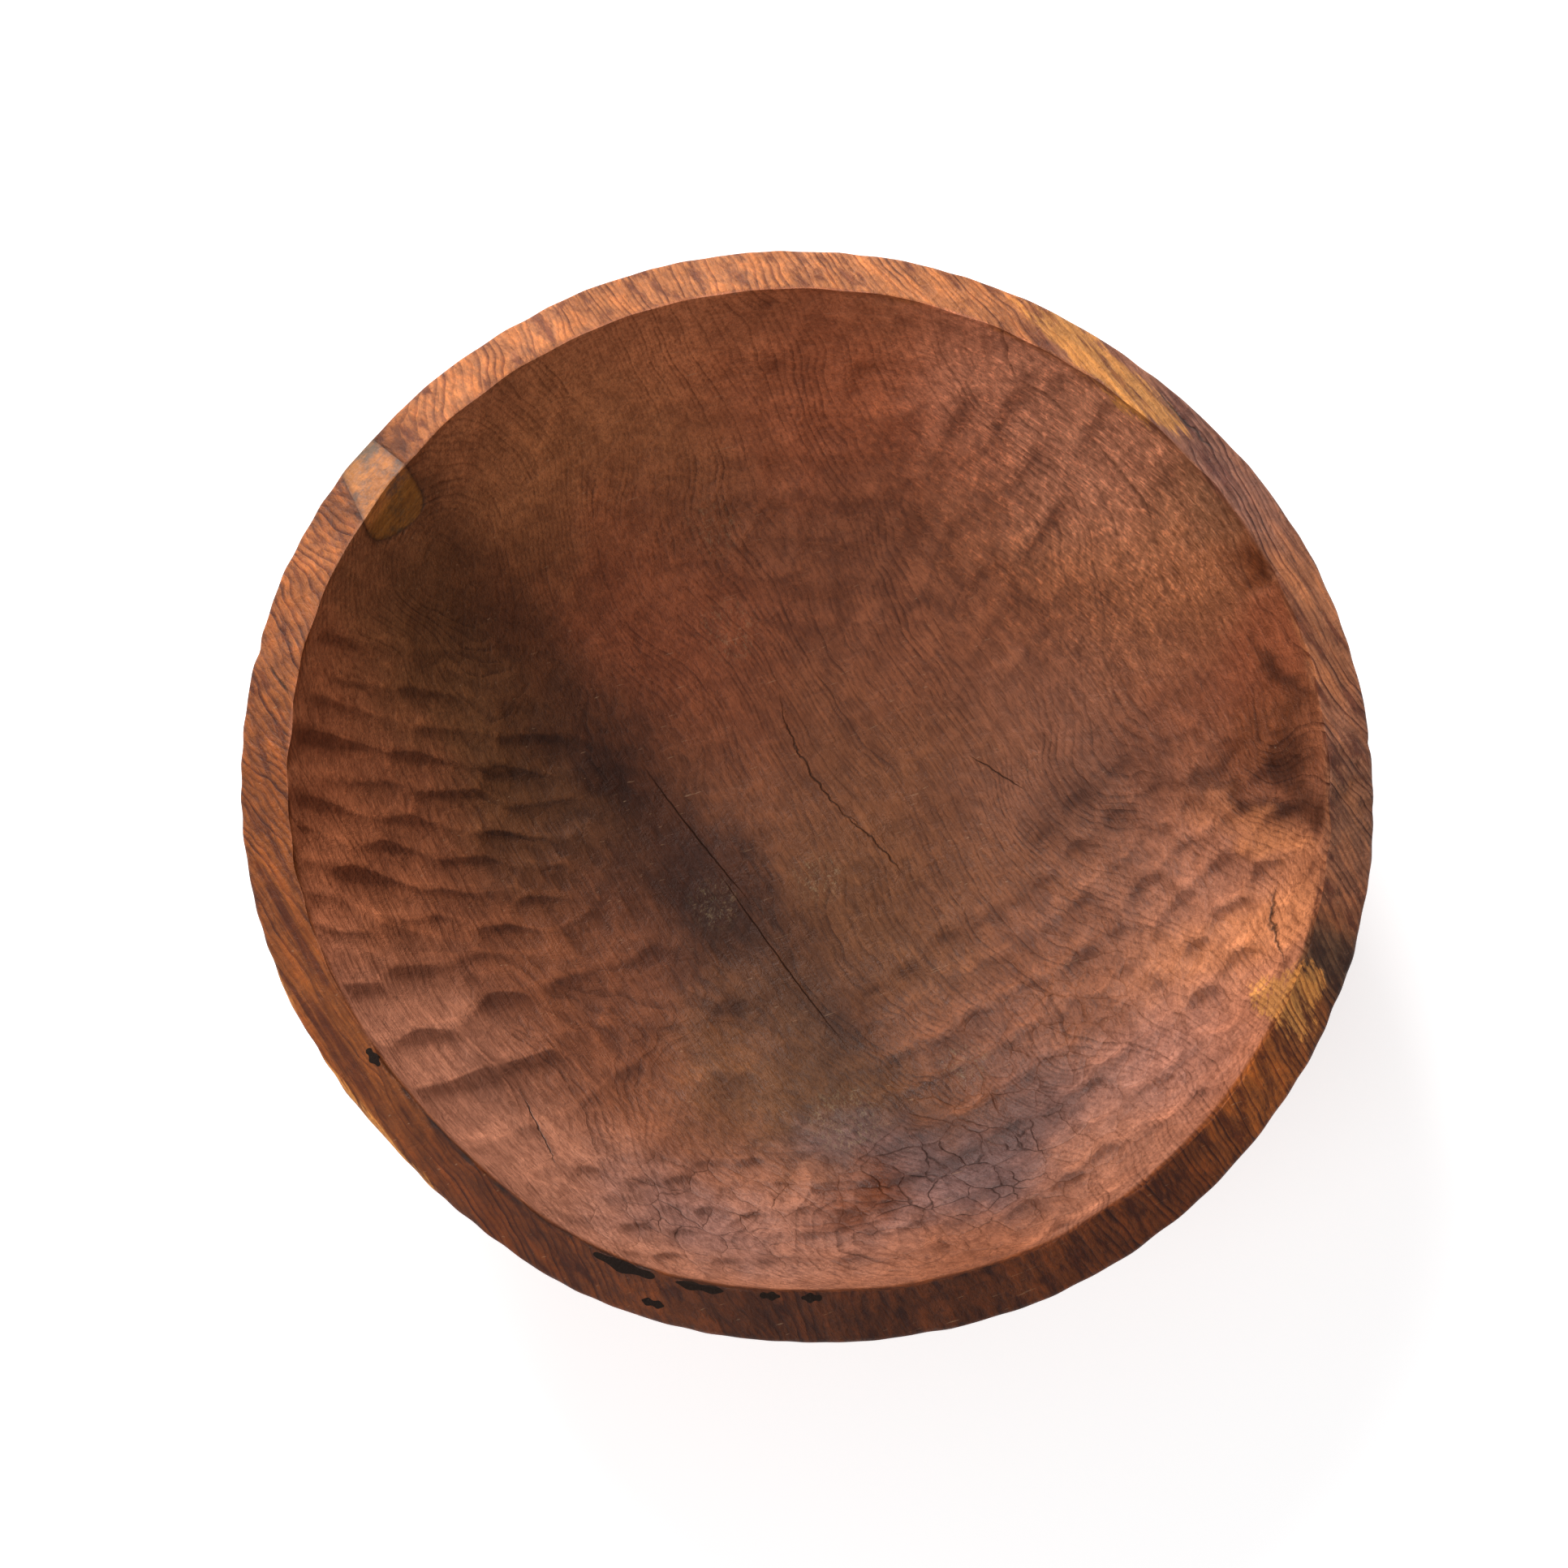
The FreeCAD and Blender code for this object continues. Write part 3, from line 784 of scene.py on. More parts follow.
# ---- node helpers
class Nodes:
    """Short calls that add nodes to one tree and join them up."""

    def __init__(self, tree):
        self.tree = tree

    def add(self, kind, inputs=None, **settings):
        """Adds a node, sets its settings, and gives each named or numbered input a value or a link."""
        node = self.tree.nodes.new(kind)
        for name, value in settings.items():
            setattr(node, name, value)
        for key, value in (inputs or {}).items():
            socket = node.inputs[key]
            if isinstance(value, bpy.types.NodeSocket):
                self.tree.links.new(value, socket)
            else:
                socket.default_value = value
        return node

    def maths(self, operation, a, b=0.0, c=0.0, clamp=False):
        """One Math node."""
        node = self.add("ShaderNodeMath", {0: a, 1: b, 2: c}, operation=operation, use_clamp=clamp)
        return node.outputs[0]

    def plus(self, a, b):
        """One value and another."""
        return self.maths("ADD", a, b)

    def less(self, a, b, clamp=False):
        """One value less another."""
        return self.maths("SUBTRACT", a, b, clamp=clamp)

    def times(self, a, b):
        """One value times another."""
        return self.maths("MULTIPLY", a, b)

    def vector(self, operation, a, b=(0.0, 0.0, 0.0)):
        """One Vector Math node with a vector result."""
        return self.add("ShaderNodeVectorMath", {0: a, 1: b}, operation=operation).outputs["Vector"]

    def mix(self, share, a, b, blend="MIX"):
        """Mixes two colours."""
        node = self.add("ShaderNodeMix", {"Factor": share}, data_type="RGBA", blend_type=blend)
        for key, value in ((6, a), (7, b)):
            if isinstance(value, bpy.types.NodeSocket):
                self.tree.links.new(value, node.inputs[key])
            else:
                node.inputs[key].default_value = value
        return node.outputs[2]

    def tinted(self, colour, factors):
        """A colour with its red, green and blue multiplied."""
        return self.mix(1.0, colour, (*factors, 1.0), "MULTIPLY")

    def turned(self, vector, angle):
        """A vector turned about +Z, by an angle in radians."""
        turn = self.add("ShaderNodeVectorRotate", {"Vector": vector, "Angle": angle}, rotation_type="Z_AXIS")
        return turn.outputs[0]

    def ramp(self, value, low, high, to_low=0.0, to_high=1.0):
        """Maps a value smoothly from one range to another."""
        node = self.add(
            "ShaderNodeMapRange",
            {"Value": value, "From Min": low, "From Max": high, "To Min": to_low, "To Max": to_high},
            interpolation_type="SMOOTHSTEP",
        )
        return node.outputs["Result"]

    def noise(self, vector, scale, detail=2.0, roughness=0.5, distortion=0.0):
        """One Noise Texture, as a value."""
        return self.add("ShaderNodeTexNoise", {
            "Vector": vector, "Scale": scale, "Detail": detail,
            "Roughness": roughness, "Distortion": distortion,
        }).outputs["Fac"]

    def attribute(self, name, output="Fac"):
        """One attribute of the piece."""
        return self.add("ShaderNodeAttribute", attribute_name=name).outputs[output]


def new_group(name, inputs, outputs):
    """An empty node group with named sockets: the group, its node calls, and its inner inputs and outputs."""
    tree = bpy.data.node_groups.new(name, "ShaderNodeTree")
    kinds = {"vector": "NodeSocketVector", "value": "NodeSocketFloat"}
    for label, kind in inputs:
        tree.interface.new_socket(name=label, in_out="INPUT", socket_type=kinds[kind])
    for label, kind in outputs:
        tree.interface.new_socket(name=label, in_out="OUTPUT", socket_type=kinds[kind])
    given, out = tree.nodes.new("NodeGroupInput").outputs, tree.nodes.new("NodeGroupOutput").inputs
    return tree, Nodes(tree), given, out


def use_group(nodes, tree, inputs):
    """Places a node group in a material, gives its inputs values or links, and returns its outputs."""
    node = nodes.tree.nodes.new("ShaderNodeGroup")
    node.node_tree = tree
    for key, value in inputs.items():
        if isinstance(value, bpy.types.NodeSocket):
            nodes.tree.links.new(value, node.inputs[key])
        else:
            node.inputs[key].default_value = value
    return node.outputs


def growth_rings():
    """Growth rings round the pith: dark lines of late wood, and a slow change of tone from ring to ring."""
    name = "Growth Rings"
    if name in bpy.data.node_groups:
        return bpy.data.node_groups[name]
    tree, n, given, out = new_group(
        name,
        [("Vector", "vector"), ("Whorl", "value"), ("Pitch", "value")],
        [("Line", "value"), ("Tone", "value"), ("Fine", "value")],
    )
    around = n.add(
        "ShaderNodeMapping",
        {"Vector": given["Vector"], "Location": [-c for c in PITH_POINT]},
        vector_type="POINT",
    ).outputs[0]
    along = n.turned(around, -math.radians(PITH_DIRECTION))
    broad = n.times(n.less(n.noise(given["Vector"], 0.008, 1.0), 0.5), 46.0)
    small = n.times(n.less(n.noise(given["Vector"], 0.035, 2.0), 0.5), 9.0)
    flattened = n.vector("MULTIPLY", along, (0.16, 1.0, 1.0))
    distance = n.add("ShaderNodeVectorMath", {0: flattened}, operation="LENGTH").outputs["Value"]
    distance = n.plus(n.plus(distance, broad), n.plus(small, given["Whorl"]))
    phase = n.maths("DIVIDE", distance, given["Pitch"])
    share = n.maths("FRACT", phase)
    rise = n.ramp(share, 0.35, 0.88)
    fall = n.ramp(share, 0.93, 1.0, 1.0, 0.0)
    which = n.add("ShaderNodeTexWhiteNoise", {"W": n.maths("FLOOR", phase)}, noise_dimensions="1D")
    bold = n.ramp(which.outputs["Value"], 0.0, 1.0, 0.35, 1.0)
    patchy = n.ramp(n.noise(given["Vector"], 0.016, 2.0), 0.36, 0.6, 0.35, 1.0)
    line = n.times(n.times(n.times(rise, fall), bold), patchy)
    tone = n.noise(n.add("ShaderNodeCombineXYZ", {"X": distance}).outputs[0], 0.11, 2.0)
    fine = n.maths("FRACT", n.times(phase, 3.37))
    tree.links.new(line, out["Line"])
    tree.links.new(tone, out["Tone"])
    tree.links.new(n.ramp(fine, 0.5, 1.0), out["Fine"])
    return tree


def fibre_grain():
    """Long fibres along the grain, and the short dark pores between them."""
    name = "Fibre Grain"
    if name in bpy.data.node_groups:
        return bpy.data.node_groups[name]
    tree, n, given, out = new_group(
        name, [("Vector", "vector"), ("Direction", "value")],
        [("Fibre", "value"), ("Streak", "value"), ("Pore", "value")],
    )
    turned = n.turned(given["Vector"], given["Direction"])
    fibre = n.noise(n.vector("MULTIPLY", turned, (0.045, 0.62, 0.62)), 1.0, 4.0, 0.68)
    streak = n.noise(n.vector("MULTIPLY", turned, (0.014, 0.17, 0.17)), 1.0, 4.0, 0.6, 0.3)
    pore = n.noise(n.vector("MULTIPLY", turned, (0.22, 2.3, 2.3)), 1.0, 2.0, 0.5)
    tree.links.new(n.ramp(fibre, 0.3, 0.7), out["Fibre"])
    tree.links.new(n.ramp(streak, 0.3, 0.7), out["Streak"])
    tree.links.new(n.ramp(pore, 0.6, 0.72), out["Pore"])
    return tree


def old_dirt():
    """Blotches of handling dirt and fine specks, on wood and filler alike."""
    name = "Old Dirt"
    if name in bpy.data.node_groups:
        return bpy.data.node_groups[name]
    tree, n, given, out = new_group(
        name, [("Vector", "vector")], [("Blotch", "value"), ("Mottle", "value"), ("Speck", "value")]
    )
    blotch = n.noise(given["Vector"], 0.03, 6.0, 0.62, 0.6)
    mottle = n.noise(given["Vector"], 0.13, 5.0, 0.72, 0.5)
    speck = n.noise(given["Vector"], 0.9, 3.0, 0.7)
    tree.links.new(n.ramp(blotch, 0.35, 0.68), out["Blotch"])
    tree.links.new(n.ramp(mottle, 0.32, 0.68), out["Mottle"])
    tree.links.new(n.ramp(speck, 0.6, 0.75), out["Speck"])
    return tree


def hairline():
    """One fine crack seen from above: a bent, wavering line that thins out at both ends."""
    name = "Hairline"
    if name in bpy.data.node_groups:
        return bpy.data.node_groups[name]
    tree, n, given, out = new_group(
        name,
        [("Vector", "vector"), ("Middle", "vector"), ("Direction", "value"), ("Reach", "value"),
         ("Bend", "value"), ("Waver", "value"), ("Width", "value")],
        [("Line", "value")],
    )
    offset = n.vector("SUBTRACT", given["Vector"], given["Middle"])
    part = n.add("ShaderNodeSeparateXYZ", {0: n.turned(offset, given["Direction"])})
    u, v = part.outputs["X"], part.outputs["Y"]
    wave = n.times(n.less(n.noise(offset, 0.09, 3.0, 0.6), 0.5), given["Waver"])
    curve = n.times(n.times(u, u), given["Bend"])
    away = n.maths("ABSOLUTE", n.plus(n.less(v, curve), wave))
    end = n.ramp(n.maths("DIVIDE", n.maths("ABSOLUTE", u), given["Reach"]), 0.35, 1.0, 1.0, 0.0)
    width = n.times(given["Width"], n.plus(end, 0.001))
    line = n.less(1.0, n.maths("DIVIDE", away, width), clamp=True)
    tree.links.new(n.times(line, end), out["Line"])
    return tree


def scuff():
    """One star of pale torn fibres round a point, seen from above."""
    name = "Scuff"
    if name in bpy.data.node_groups:
        return bpy.data.node_groups[name]
    tree, n, given, out = new_group(
        name, [("Vector", "vector"), ("Middle", "vector"), ("Reach", "value")], [("Mark", "value")]
    )
    offset = n.vector("SUBTRACT", given["Vector"], given["Middle"])
    part = n.add("ShaderNodeSeparateXYZ", {0: offset})
    x, y = part.outputs["X"], part.outputs["Y"]
    away = n.maths("SQRT", n.plus(n.times(x, x), n.times(y, y)))
    angle = n.times(n.maths("ARCTAN2", y, x), 2.2)
    spread = n.add("ShaderNodeCombineXYZ", {"X": angle, "Y": n.times(away, 0.16), "Z": n.times(x, 0.2)})
    ray = n.ramp(n.noise(spread.outputs[0], 1.7, 5.0, 0.8), 0.5, 0.66)
    share = n.maths("DIVIDE", away, given["Reach"])
    fade = n.ramp(n.maths("ABSOLUTE", n.less(share, 0.4)), 0.0, 0.6, 1.0, 0.0)
    tree.links.new(n.times(ray, fade), out["Mark"])
    return tree


# Stars of pale torn fibres: (middle x, y), reach, strength
SCUFFS = (
    ((6, -18), 15, 0.4), ((-43, -31), 15, 0.32), ((17, -138), 22, 0.36),
    ((73, -111), 14, 0.4), ((-36, 100), 18, 0.3), ((-44, 144), 16, 0.3),
)
# Fine cracks of the body: (middle x, y), direction, half length, bend, waver, width
HAIRLINES = (
    ((2, 34), -58, 50, 0.0045, 8, 0.7), ((33, -1), -45, 26, -0.004, 6, 0.6),
    ((90, 31), -36, 20, 0.0, 4, 0.5), ((-119, -150), -63, 26, 0.0, 5, 0.5),
    ((206, -64), -88, 26, 0.006, 9, 1.1), ((171, 164), -50, 26, 0.002, 6, 1.2),
    ((-52, 2), -52, 52, 0.0004, 1.5, 0.45), ((-12, -58), -55, 64, 0.0002, 1.5, 0.4),
    ((-234, 42), -58, 12, 0.0, 4, 1.0),
)


def wood_base(n, base, rings, grain, dirt, strength):
    """Colour of bare wood from its base colour, its rings, its fibres and its dirt."""
    if not isinstance(base, bpy.types.NodeSocket):
        base = (*base, 1.0)
    dark, light = n.tinted(base, (0.42, 0.36, 0.33)), n.tinted(base, (1.66, 1.66, 1.62))
    late = n.tinted(base, (0.26, 0.21, 0.18))
    fibre, streak, mottle = grain["Fibre"], grain["Streak"], dirt["Mottle"]
    colour = base
    for share, shade in (
        (n.times(rings["Line"], 0.9 * strength), late),
        (n.times(rings["Fine"], 0.14 * strength), dark),
        (n.ramp(rings["Tone"], 0.3, 0.7, 0.0, 0.22 * strength), light),
        (n.ramp(streak, 0.5, 1.0, 0.0, 0.22 * strength), light),
        (n.ramp(streak, 0.5, 0.0, 0.0, 0.26 * strength), dark),
        (n.ramp(fibre, 0.5, 1.0, 0.0, 0.38), light),
        (n.ramp(fibre, 0.5, 0.0, 0.0, 0.4), dark),
        (n.ramp(mottle, 0.5, 1.0, 0.0, 0.3), light),
        (n.ramp(mottle, 0.5, 0.0, 0.0, 0.28), dark),
        (n.times(grain["Pore"], 0.5), dark),
        (n.times(dirt["Blotch"], 0.35), dark),
    ):
        colour = n.mix(share, colour, shade)
    return colour


def start_material(name):
    """A new material with its shader, its nodes and the position in millimetres."""
    material = bpy.data.materials.new(name)
    material.use_nodes = True
    nodes = Nodes(material.node_tree)
    shader = material.node_tree.nodes["Principled BSDF"]
    place = nodes.add("ShaderNodeTexCoord").outputs["Object"]
    return material, nodes, shader, nodes.vector("MULTIPLY", place, (1.0 / MM,) * 3)


def strokes(n, place, degrees, scale, detail=2.0, roughness=0.5):
    """Fine marks that run in a direction: a noise stretched along it."""
    along = n.turned(place, math.radians(degrees))
    return n.noise(n.vector("MULTIPLY", along, scale), 1.0, detail, roughness)


def link_shader(n, shader, colour, rough, height, strength):
    """Links a colour, a roughness and a bump height to the shader."""
    n.tree.links.new(colour, shader.inputs["Base Color"])
    n.tree.links.new(rough, shader.inputs["Roughness"])
    bump = n.add("ShaderNodeBump", {"Strength": strength, "Distance": MM, "Height": height})
    n.tree.links.new(bump.outputs["Normal"], shader.inputs["Normal"])


def with_sapwood(n, colour, finish, rings, grain, dirt):
    """Lays streaky sapwood, with dark specks, over the heartwood."""
    share = n.attribute("sapwood")
    streaky = n.plus(share, n.times(n.plus(grain["Streak"], grain["Fibre"]), 0.75))
    cover = n.times(n.ramp(streaky, 0.95, 1.55), n.ramp(share, 0.02, 0.3))
    colour = n.mix(n.times(cover, 0.85), colour, wood_base(n, finish.sapwood, rings, grain, dirt, 0.8))
    return n.mix(n.times(n.times(dirt["Speck"], share), 0.8), colour, (0.03, 0.018, 0.012, 1.0))


def with_torn_fibre(n, colour, place):
    """Lays pale and dark crossing strokes of torn fibre, the pale partly painted sheen, and returns the pale.
    """
    along = strokes(n, place, 38.0, (0.05, 0.8, 0.8), 4.0, 0.7)
    crossing = strokes(n, place, -66.0, (0.018, 0.34, 0.34), 3.0, 0.6)
    torn = n.plus(n.times(along, 0.55), n.times(crossing, 0.45))
    pale = n.times(n.ramp(torn, 0.5, 0.6), n.attribute("torn_fibre"))
    dark = n.times(n.ramp(torn, 0.49, 0.4), n.attribute("torn_fibre"))
    # pale strokes: partly pale torn fibre, partly painted sheen
    colour = n.mix(n.times(pale, 0.7), colour, n.tinted(colour, (2.0, 1.92, 1.85)))
    return n.mix(n.times(dark, 0.5), colour, n.tinted(colour, (0.3, 0.24, 0.2))), pale


def with_scratches(n, colour, place):
    """Lays thin pale scratches and short dark nicks."""
    scratch = strokes(n, place, -20.0, (0.06, 0.75, 0.75))
    nick = strokes(n, place, 72.0, (0.1, 0.8, 0.8))
    colour = n.mix(n.ramp(scratch, 0.69, 0.78, 0.0, 0.3), colour, (0.50, 0.30, 0.17, 1.0))
    return n.mix(n.ramp(nick, 0.66, 0.76, 0.0, 0.5), colour, (0.05, 0.02, 0.012, 1.0))


def with_band_figure(n, colour, rings, grain):
    """Brings out the purple and golden figure of the band, where the rings are cut across."""
    band = n.attribute("band")
    dark = n.times(n.ramp(grain["Streak"], 0.42, 0.0, 0.0, 0.9), band)
    dark = n.maths("MAXIMUM", dark, n.times(rings["Line"], band))
    bright = n.times(n.ramp(grain["Streak"], 0.5, 0.95), band)
    colour = n.mix(n.times(dark, 0.85), colour, n.tinted(colour, (0.38, 0.24, 0.26)))
    return n.mix(n.times(bright, 0.4), colour, n.tinted(colour, (1.7, 1.5, 1.1)))


def cracks_and_facets(n, place):
    """Dark lines of checks, painted crest shade, joint and cracks, and the pillow height of the facets."""
    waver = n.add("ShaderNodeTexNoise", {"Vector": place, "Scale": 0.09}).outputs["Color"]
    turned = n.vector("MULTIPLY", n.turned(place, math.radians(35.0)), (1.0, 1.45, 1.0))
    cells = n.add("ShaderNodeTexVoronoi", {
        "Vector": n.vector("ADD", turned, n.vector("MULTIPLY", waver, (9.0, 9.0, 9.0))), "Scale": 0.052,
    }, feature="DISTANCE_TO_EDGE").outputs["Distance"]
    broken = n.ramp(n.noise(place, 0.06, 3.0, 0.6), 0.38, 0.6)
    checks = n.times(n.ramp(cells, 0.0, 0.03, 0.75, 0.0), n.attribute("checks"))
    cracks = n.maths("MAXIMUM", n.times(checks, broken), n.attribute("crest_shade_crack_and_joint"))
    for (x, y), direction, reach, bend, waver, width in HAIRLINES:
        line = use_group(n, hairline(), {
            "Vector": place, "Middle": (x, y, 0.0), "Direction": -math.radians(direction), "Reach": reach,
            "Bend": bend, "Waver": waver, "Width": width,
        })["Line"]
        cracks = n.maths("MAXIMUM", cracks, line)
    pillow = n.times(n.maths("POWER", n.maths("MINIMUM", cells, 0.4), 0.5), n.attribute("facets"))
    return cracks, pillow


def with_scuffs(n, colour, place):
    """Lays the stars of pale torn fibres."""
    for (x, y), reach, strength in SCUFFS:
        mark = use_group(n, scuff(), {"Vector": place, "Middle": (x, y, 0.0), "Reach": reach})["Mark"]
        colour = n.mix(n.times(mark, strength), colour, (0.42, 0.30, 0.16, 1.0))
    return colour


def with_cut_shading(n, colour):
    """Paints shade into the ridges and lips of the cuts on one side, and paints highlights on them on the
    other.
    """
    painted_shade = n.tinted(colour, (0.36, 0.30, 0.27))
    painted_highlight = n.tinted(colour, (1.8, 1.8, 1.75))
    ridge, lip = n.attribute("ridge"), n.attribute("lip")
    for mark, low, high, share, shade in (
        (ridge, 0.3, 1.0, 0.3, painted_shade), (ridge, -0.3, -1.0, 0.4, painted_highlight),
        (lip, 0.0, 0.7, 0.35, painted_shade), (lip, 0.36, 0.62, 0.62, painted_shade),
        (lip, 0.0, -0.6, 0.3, painted_highlight), (lip, -0.36, -0.62, 0.55, painted_highlight),
    ):
        colour = n.mix(n.ramp(mark, low, high, 0.0, share), colour, shade)
    return colour


def body_wood(finish):
    """The old oiled hardwood of the body."""
    material, n, shader, place = start_material("oiled_hewn_hardwood")
    rings = use_group(n, growth_rings(), {"Vector": place, "Whorl": n.attribute("whorl"), "Pitch": 2.6})
    grain = use_group(n, fibre_grain(), {"Vector": place, "Direction": -math.radians(PITH_DIRECTION)})
    dirt = use_group(n, old_dirt(), {"Vector": place})
    colour = wood_base(n, n.attribute("patina_and_painted_light", "Color"), rings, grain, dirt, 1.0)
    colour = with_sapwood(n, colour, finish, rings, grain, dirt)
    colour, pale_sheen_strokes = with_torn_fibre(n, colour, place)
    colour = with_scratches(n, colour, place)
    colour = with_band_figure(n, colour, rings, grain)
    cracks, pillow = cracks_and_facets(n, place)
    # dark lines of the cracks and checks, and painted shade along the crest
    colour = n.mix(n.times(cracks, 0.85), colour, (0.012, 0.007, 0.005, 1.0))
    colour = with_scuffs(n, colour, place)
    colour = with_cut_shading(n, colour)

    rough, height = n.times(n.attribute("bloom"), -0.06), n.times(cracks, -0.9)
    for part, share in ((dirt["Blotch"], 0.14), (grain["Fibre"], 0.12), (n.attribute("outside"), 0.1)):
        rough = n.plus(rough, n.times(part, share))
    for part, share in (
        (grain["Fibre"], 0.22), (rings["Line"], -0.16), (grain["Pore"], -0.12), (dirt["Mottle"], 0.4),
        (grain["Streak"], 0.3), (pillow, 2.6), (pale_sheen_strokes, 0.35),
    ):
        height = n.plus(height, n.times(part, share))
    link_shader(n, shader, colour, n.plus(rough, 0.42), height, 0.8)
    shader.inputs["Specular IOR Level"].default_value = 0.28
    return material


def patch_wood(finish):
    """The paler wood of the block, with its own grain: grey on the band, olive on the lobe below it."""
    material, n, shader, place = start_material("pale_rim_block")
    local = n.vector("ADD", place, (60.0, -210.0, 40.0))
    rings = use_group(n, growth_rings(), {"Vector": local, "Whorl": 0.0, "Pitch": 2.2})
    grain = use_group(n, fibre_grain(), {"Vector": place, "Direction": math.radians(-50.0)})
    dirt = use_group(n, old_dirt(), {"Vector": place})
    colour = wood_base(n, finish.patch, rings, grain, dirt, 0.9)
    grey = n.ramp(n.noise(place, 0.09, 5.0, 0.7), 0.46, 0.66)
    colour = n.mix(n.times(grey, 0.8), colour, (0.11, 0.07, 0.05, 1.0))
    colour = n.mix(n.times(dirt["Speck"], 0.6), colour, (0.03, 0.02, 0.015, 1.0))
    lobe = n.ramp(n.add("ShaderNodeSeparateXYZ", {0: place}).outputs["Z"], 151.5, 145.0)
    colour = n.mix(lobe, colour, n.tinted(colour, (0.62, 0.66, 0.42)))
    colour = n.mix(n.times(n.attribute("joint"), 0.7), colour, n.tinted(colour, (0.2, 0.14, 0.1)))
    rough = n.plus(0.46, n.times(grain["Fibre"], 0.15))
    height = n.plus(n.times(grain["Fibre"], 0.3), n.noise(place, 0.3, 3.0))
    link_shader(n, shader, colour, rough, height, 0.6)
    return material


def pitch_filler(finish):
    """Old dark pitch: dull and dusty."""
    material, n, shader, place = start_material("dark_pitch")
    dirt = use_group(n, old_dirt(), {"Vector": place})
    colour = n.mix(n.times(dirt["Speck"], 0.35), (*finish.pitch, 1.0), (0.09, 0.06, 0.045, 1.0))
    colour = n.mix(n.times(dirt["Blotch"], 0.3), colour, (0.03, 0.018, 0.012, 1.0))
    rough = n.ramp(dirt["Blotch"], 0.0, 1.0, 0.6, 0.8)
    link_shader(n, shader, colour, rough, n.noise(place, 0.7, 4.0, 0.6), 0.7)
    shader.inputs["Specular IOR Level"].default_value = 0.15
    return material


def floor_finish(finish):
    """Plain pale studio floor."""
    material, n, shader, place = start_material("pale_floor")
    tint = n.mix(n.noise(place, 0.002, 1.0), (*finish.floor, 1.0), (0.93, 0.93, 0.93, 1.0))
    n.tree.links.new(tint, shader.inputs["Base Color"])
    shader.inputs["Roughness"].default_value = 0.9
    shader.inputs["Specular IOR Level"].default_value = 0.1
    shader.inputs["Emission Color"].default_value = (1.0, 1.0, 1.0, 1.0)
    shader.inputs["Emission Strength"].default_value = 0.55
    return material


# ---- operators
class BOWL_OT_carve_body(bpy.types.Operator):
    """Carves the bowl's body, with its tool marks and the pockets for the block and the filler"""

    bl_idname = "bowl.carve_body"
    bl_label = "Carve Body"

    def execute(self, context):
        section = Section(context.scene.bowl_shape)
        tools = [patch_tool(section), *filler_tools(section)]
        name, wood = "bowl_body_hewn", body_wood(context.scene.bowl_finish)
        mesh = cut_mesh(context, blank_mesh(context), tools, "DIFFERENCE", name)
        paint(context, mesh)
        finished_piece(context, mesh, name, "bowl_body", wood, 50.0)
        return {"FINISHED"}


class BOWL_OT_fit_patch(bpy.types.Operator):
    """Fits the pale block into its pocket in the rim"""

    bl_idname = "bowl.fit_patch"
    bl_label = "Fit Rim Block"

    def execute(self, context):
        section = Section(context.scene.bowl_shape)
        name, wood = "rim_block", patch_wood(context.scene.bowl_finish)
        mesh = cut_mesh(context, blank_mesh(context), [patch_tool(section)], "INTERSECT", name)
        points = np.array([v.co for v in mesh.vertices]) / MM
        write_attribute(mesh, "joint", patch_joint(section, *points.T))
        finished_piece(context, mesh, name, "rim_patch", wood, 40.0)
        return {"FINISHED"}


class BOWL_OT_fill_cracks(bpy.types.Operator):
    """Runs dark pitch into the shakes beside the crest"""

    bl_idname = "bowl.fill_cracks"
    bl_label = "Fill Cracks"

    def execute(self, context):
        section = Section(context.scene.bowl_shape)
        pitch = pitch_filler(context.scene.bowl_finish)
        for (name, node, *_), tool in zip(FILLERS, filler_tools(section)):
            mesh = cut_mesh(context, blank_mesh(context), [tool], "INTERSECT", name)
            finished_piece(context, mesh, name, node, pitch, 40.0)
        return {"FINISHED"}


# The point that the camera and the lights look at, and the camera's lens, sensor, distance and tilt
AIM = Vector((-10.5, -5.4, 150.0)) * MM
CAMERA_LENS, CAMERA_SENSOR = 85.0, 36.0
CAMERA_DISTANCE, CAMERA_TILT = 1.629, 75.0
# Soft boxes: name, direction, height in degrees, distance and side in metres, power in watts
SOFT_LIGHTS = (
    ("key_light", 114.0, 37.0, 2.3, 1.1, 58.0),
    ("fill_light", 238.0, 40.0, 2.6, 1.8, 24.0),
)
STUDIO_FLOOR_RADIUS, STUDIO_FLOOR_GAP = 14.0, 0.2 * MM


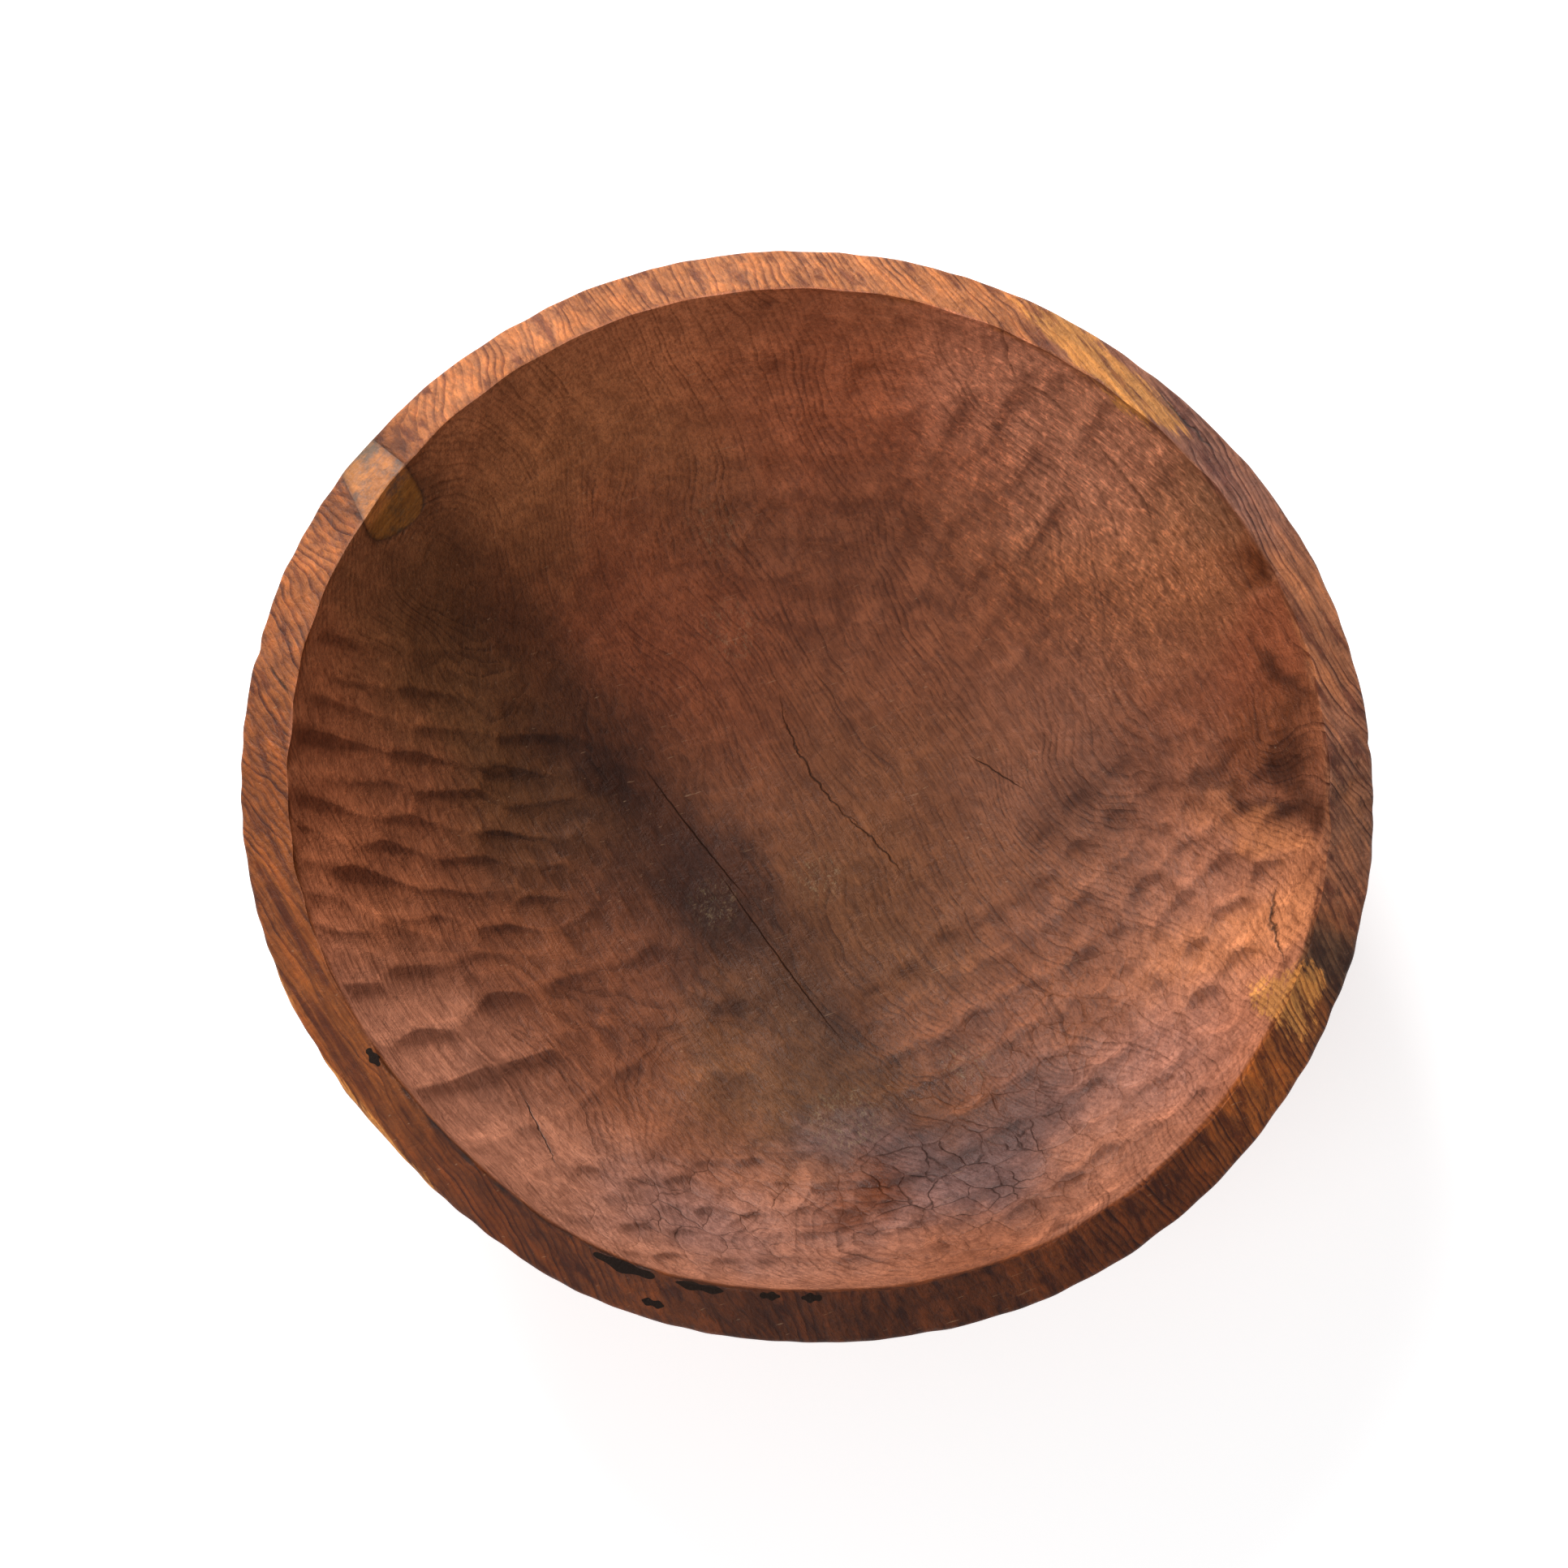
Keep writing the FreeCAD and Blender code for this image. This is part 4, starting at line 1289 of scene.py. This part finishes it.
class BOWL_OT_lay_stage(bpy.types.Operator):
    """Lays the pale floor and sets the soft studio light and the camera"""

    bl_idname = "bowl.lay_stage"
    bl_label = "Lay Stage"

    def execute(self, context):
        scene = context.scene
        bm = bmesh.new()
        under = Matrix.Translation((0.0, 0.0, -STUDIO_FLOOR_GAP))
        bmesh.ops.create_circle(bm, cap_ends=True, segments=96, radius=STUDIO_FLOOR_RADIUS, matrix=under)
        mesh = bpy.data.meshes.new("studio_floor")
        bm.to_mesh(mesh)
        bm.free()
        mesh.materials.append(floor_finish(scene.bowl_finish))
        floor = bpy.data.objects.new("studio_floor", mesh)
        scene.collection.objects.link(floor)

        for light in SOFT_LIGHTS:
            add_soft_light(context, *light)

        world = scene.world or bpy.data.worlds.new("studio")
        scene.world = world
        world.use_nodes = True
        background = world.node_tree.nodes["Background"]
        background.inputs["Color"].default_value = (0.97, 0.98, 1.0, 1.0)
        background.inputs["Strength"].default_value = 0.28

        camera = bpy.data.objects.new("camera", bpy.data.cameras.new("camera"))
        camera.data.lens, camera.data.sensor_width = CAMERA_LENS, CAMERA_SENSOR
        tilt = math.radians(CAMERA_TILT)
        camera.location = AIM + Vector((0.0, -math.cos(tilt), math.sin(tilt))) * CAMERA_DISTANCE
        camera.rotation_euler = (math.radians(90.0) - tilt, 0.0, 0.0)
        scene.collection.objects.link(camera)
        scene.camera = camera
        scene.view_settings.view_transform = "Standard"
        return {"FINISHED"}


def add_soft_light(context, name, direction, height, away, side, power):
    """A square soft box that looks at the aim from a direction and a height in degrees."""
    light = bpy.data.lights.new(name, "AREA")
    light.size, light.energy = side, power
    lamp = bpy.data.objects.new(name, light)
    turn, lift = math.radians(direction), math.radians(height)
    back = Vector((math.cos(turn) * math.cos(lift), math.sin(turn) * math.cos(lift), math.sin(lift)))
    lamp.location = AIM + back * away
    lamp.rotation_euler = back.to_track_quat("Z", "Y").to_euler()
    context.scene.collection.objects.link(lamp)


class BOWL_PT_panel(bpy.types.Panel):
    """Lists the bowl's sizes, its colours and the steps that make it"""

    bl_idname = "BOWL_PT_panel"
    bl_label = "Hewn Bowl"
    bl_space_type = "VIEW_3D"
    bl_region_type = "UI"
    bl_category = "Bowl"

    def draw(self, context):
        for step in STEPS:
            self.layout.operator(step.bl_idname)
        for group in (context.scene.bowl_shape, context.scene.bowl_finish):
            box = self.layout.box()
            for name in group.__annotations__:
                box.prop(group, name)


STEPS = (BOWL_OT_carve_body, BOWL_OT_fit_patch, BOWL_OT_fill_cracks, BOWL_OT_lay_stage)
CLASSES = (BowlShape, BowlFinish, *STEPS, BOWL_PT_panel)


def register():
    """Registers the classes and gives each scene its sizes and colours."""
    for cls in CLASSES:
        bpy.utils.register_class(cls)
    bpy.types.Scene.bowl_shape = PointerProperty(type=BowlShape, name="Bowl Shape", description="Sizes")
    bpy.types.Scene.bowl_finish = PointerProperty(type=BowlFinish, name="Bowl Finish", description="Colours")


def unregister():
    """Takes everything out again."""
    del bpy.types.Scene.bowl_finish
    del bpy.types.Scene.bowl_shape
    for cls in reversed(CLASSES):
        bpy.utils.unregister_class(cls)


def main():
    """Makes the whole scene."""
    register()
    bpy.ops.bowl.carve_body()
    bpy.ops.bowl.fit_patch()
    bpy.ops.bowl.fill_cracks()
    bpy.ops.bowl.lay_stage()
    bpy.data.meshes.remove(bpy.data.meshes["bowl_blank"])


if __name__ == "__main__":
    main()
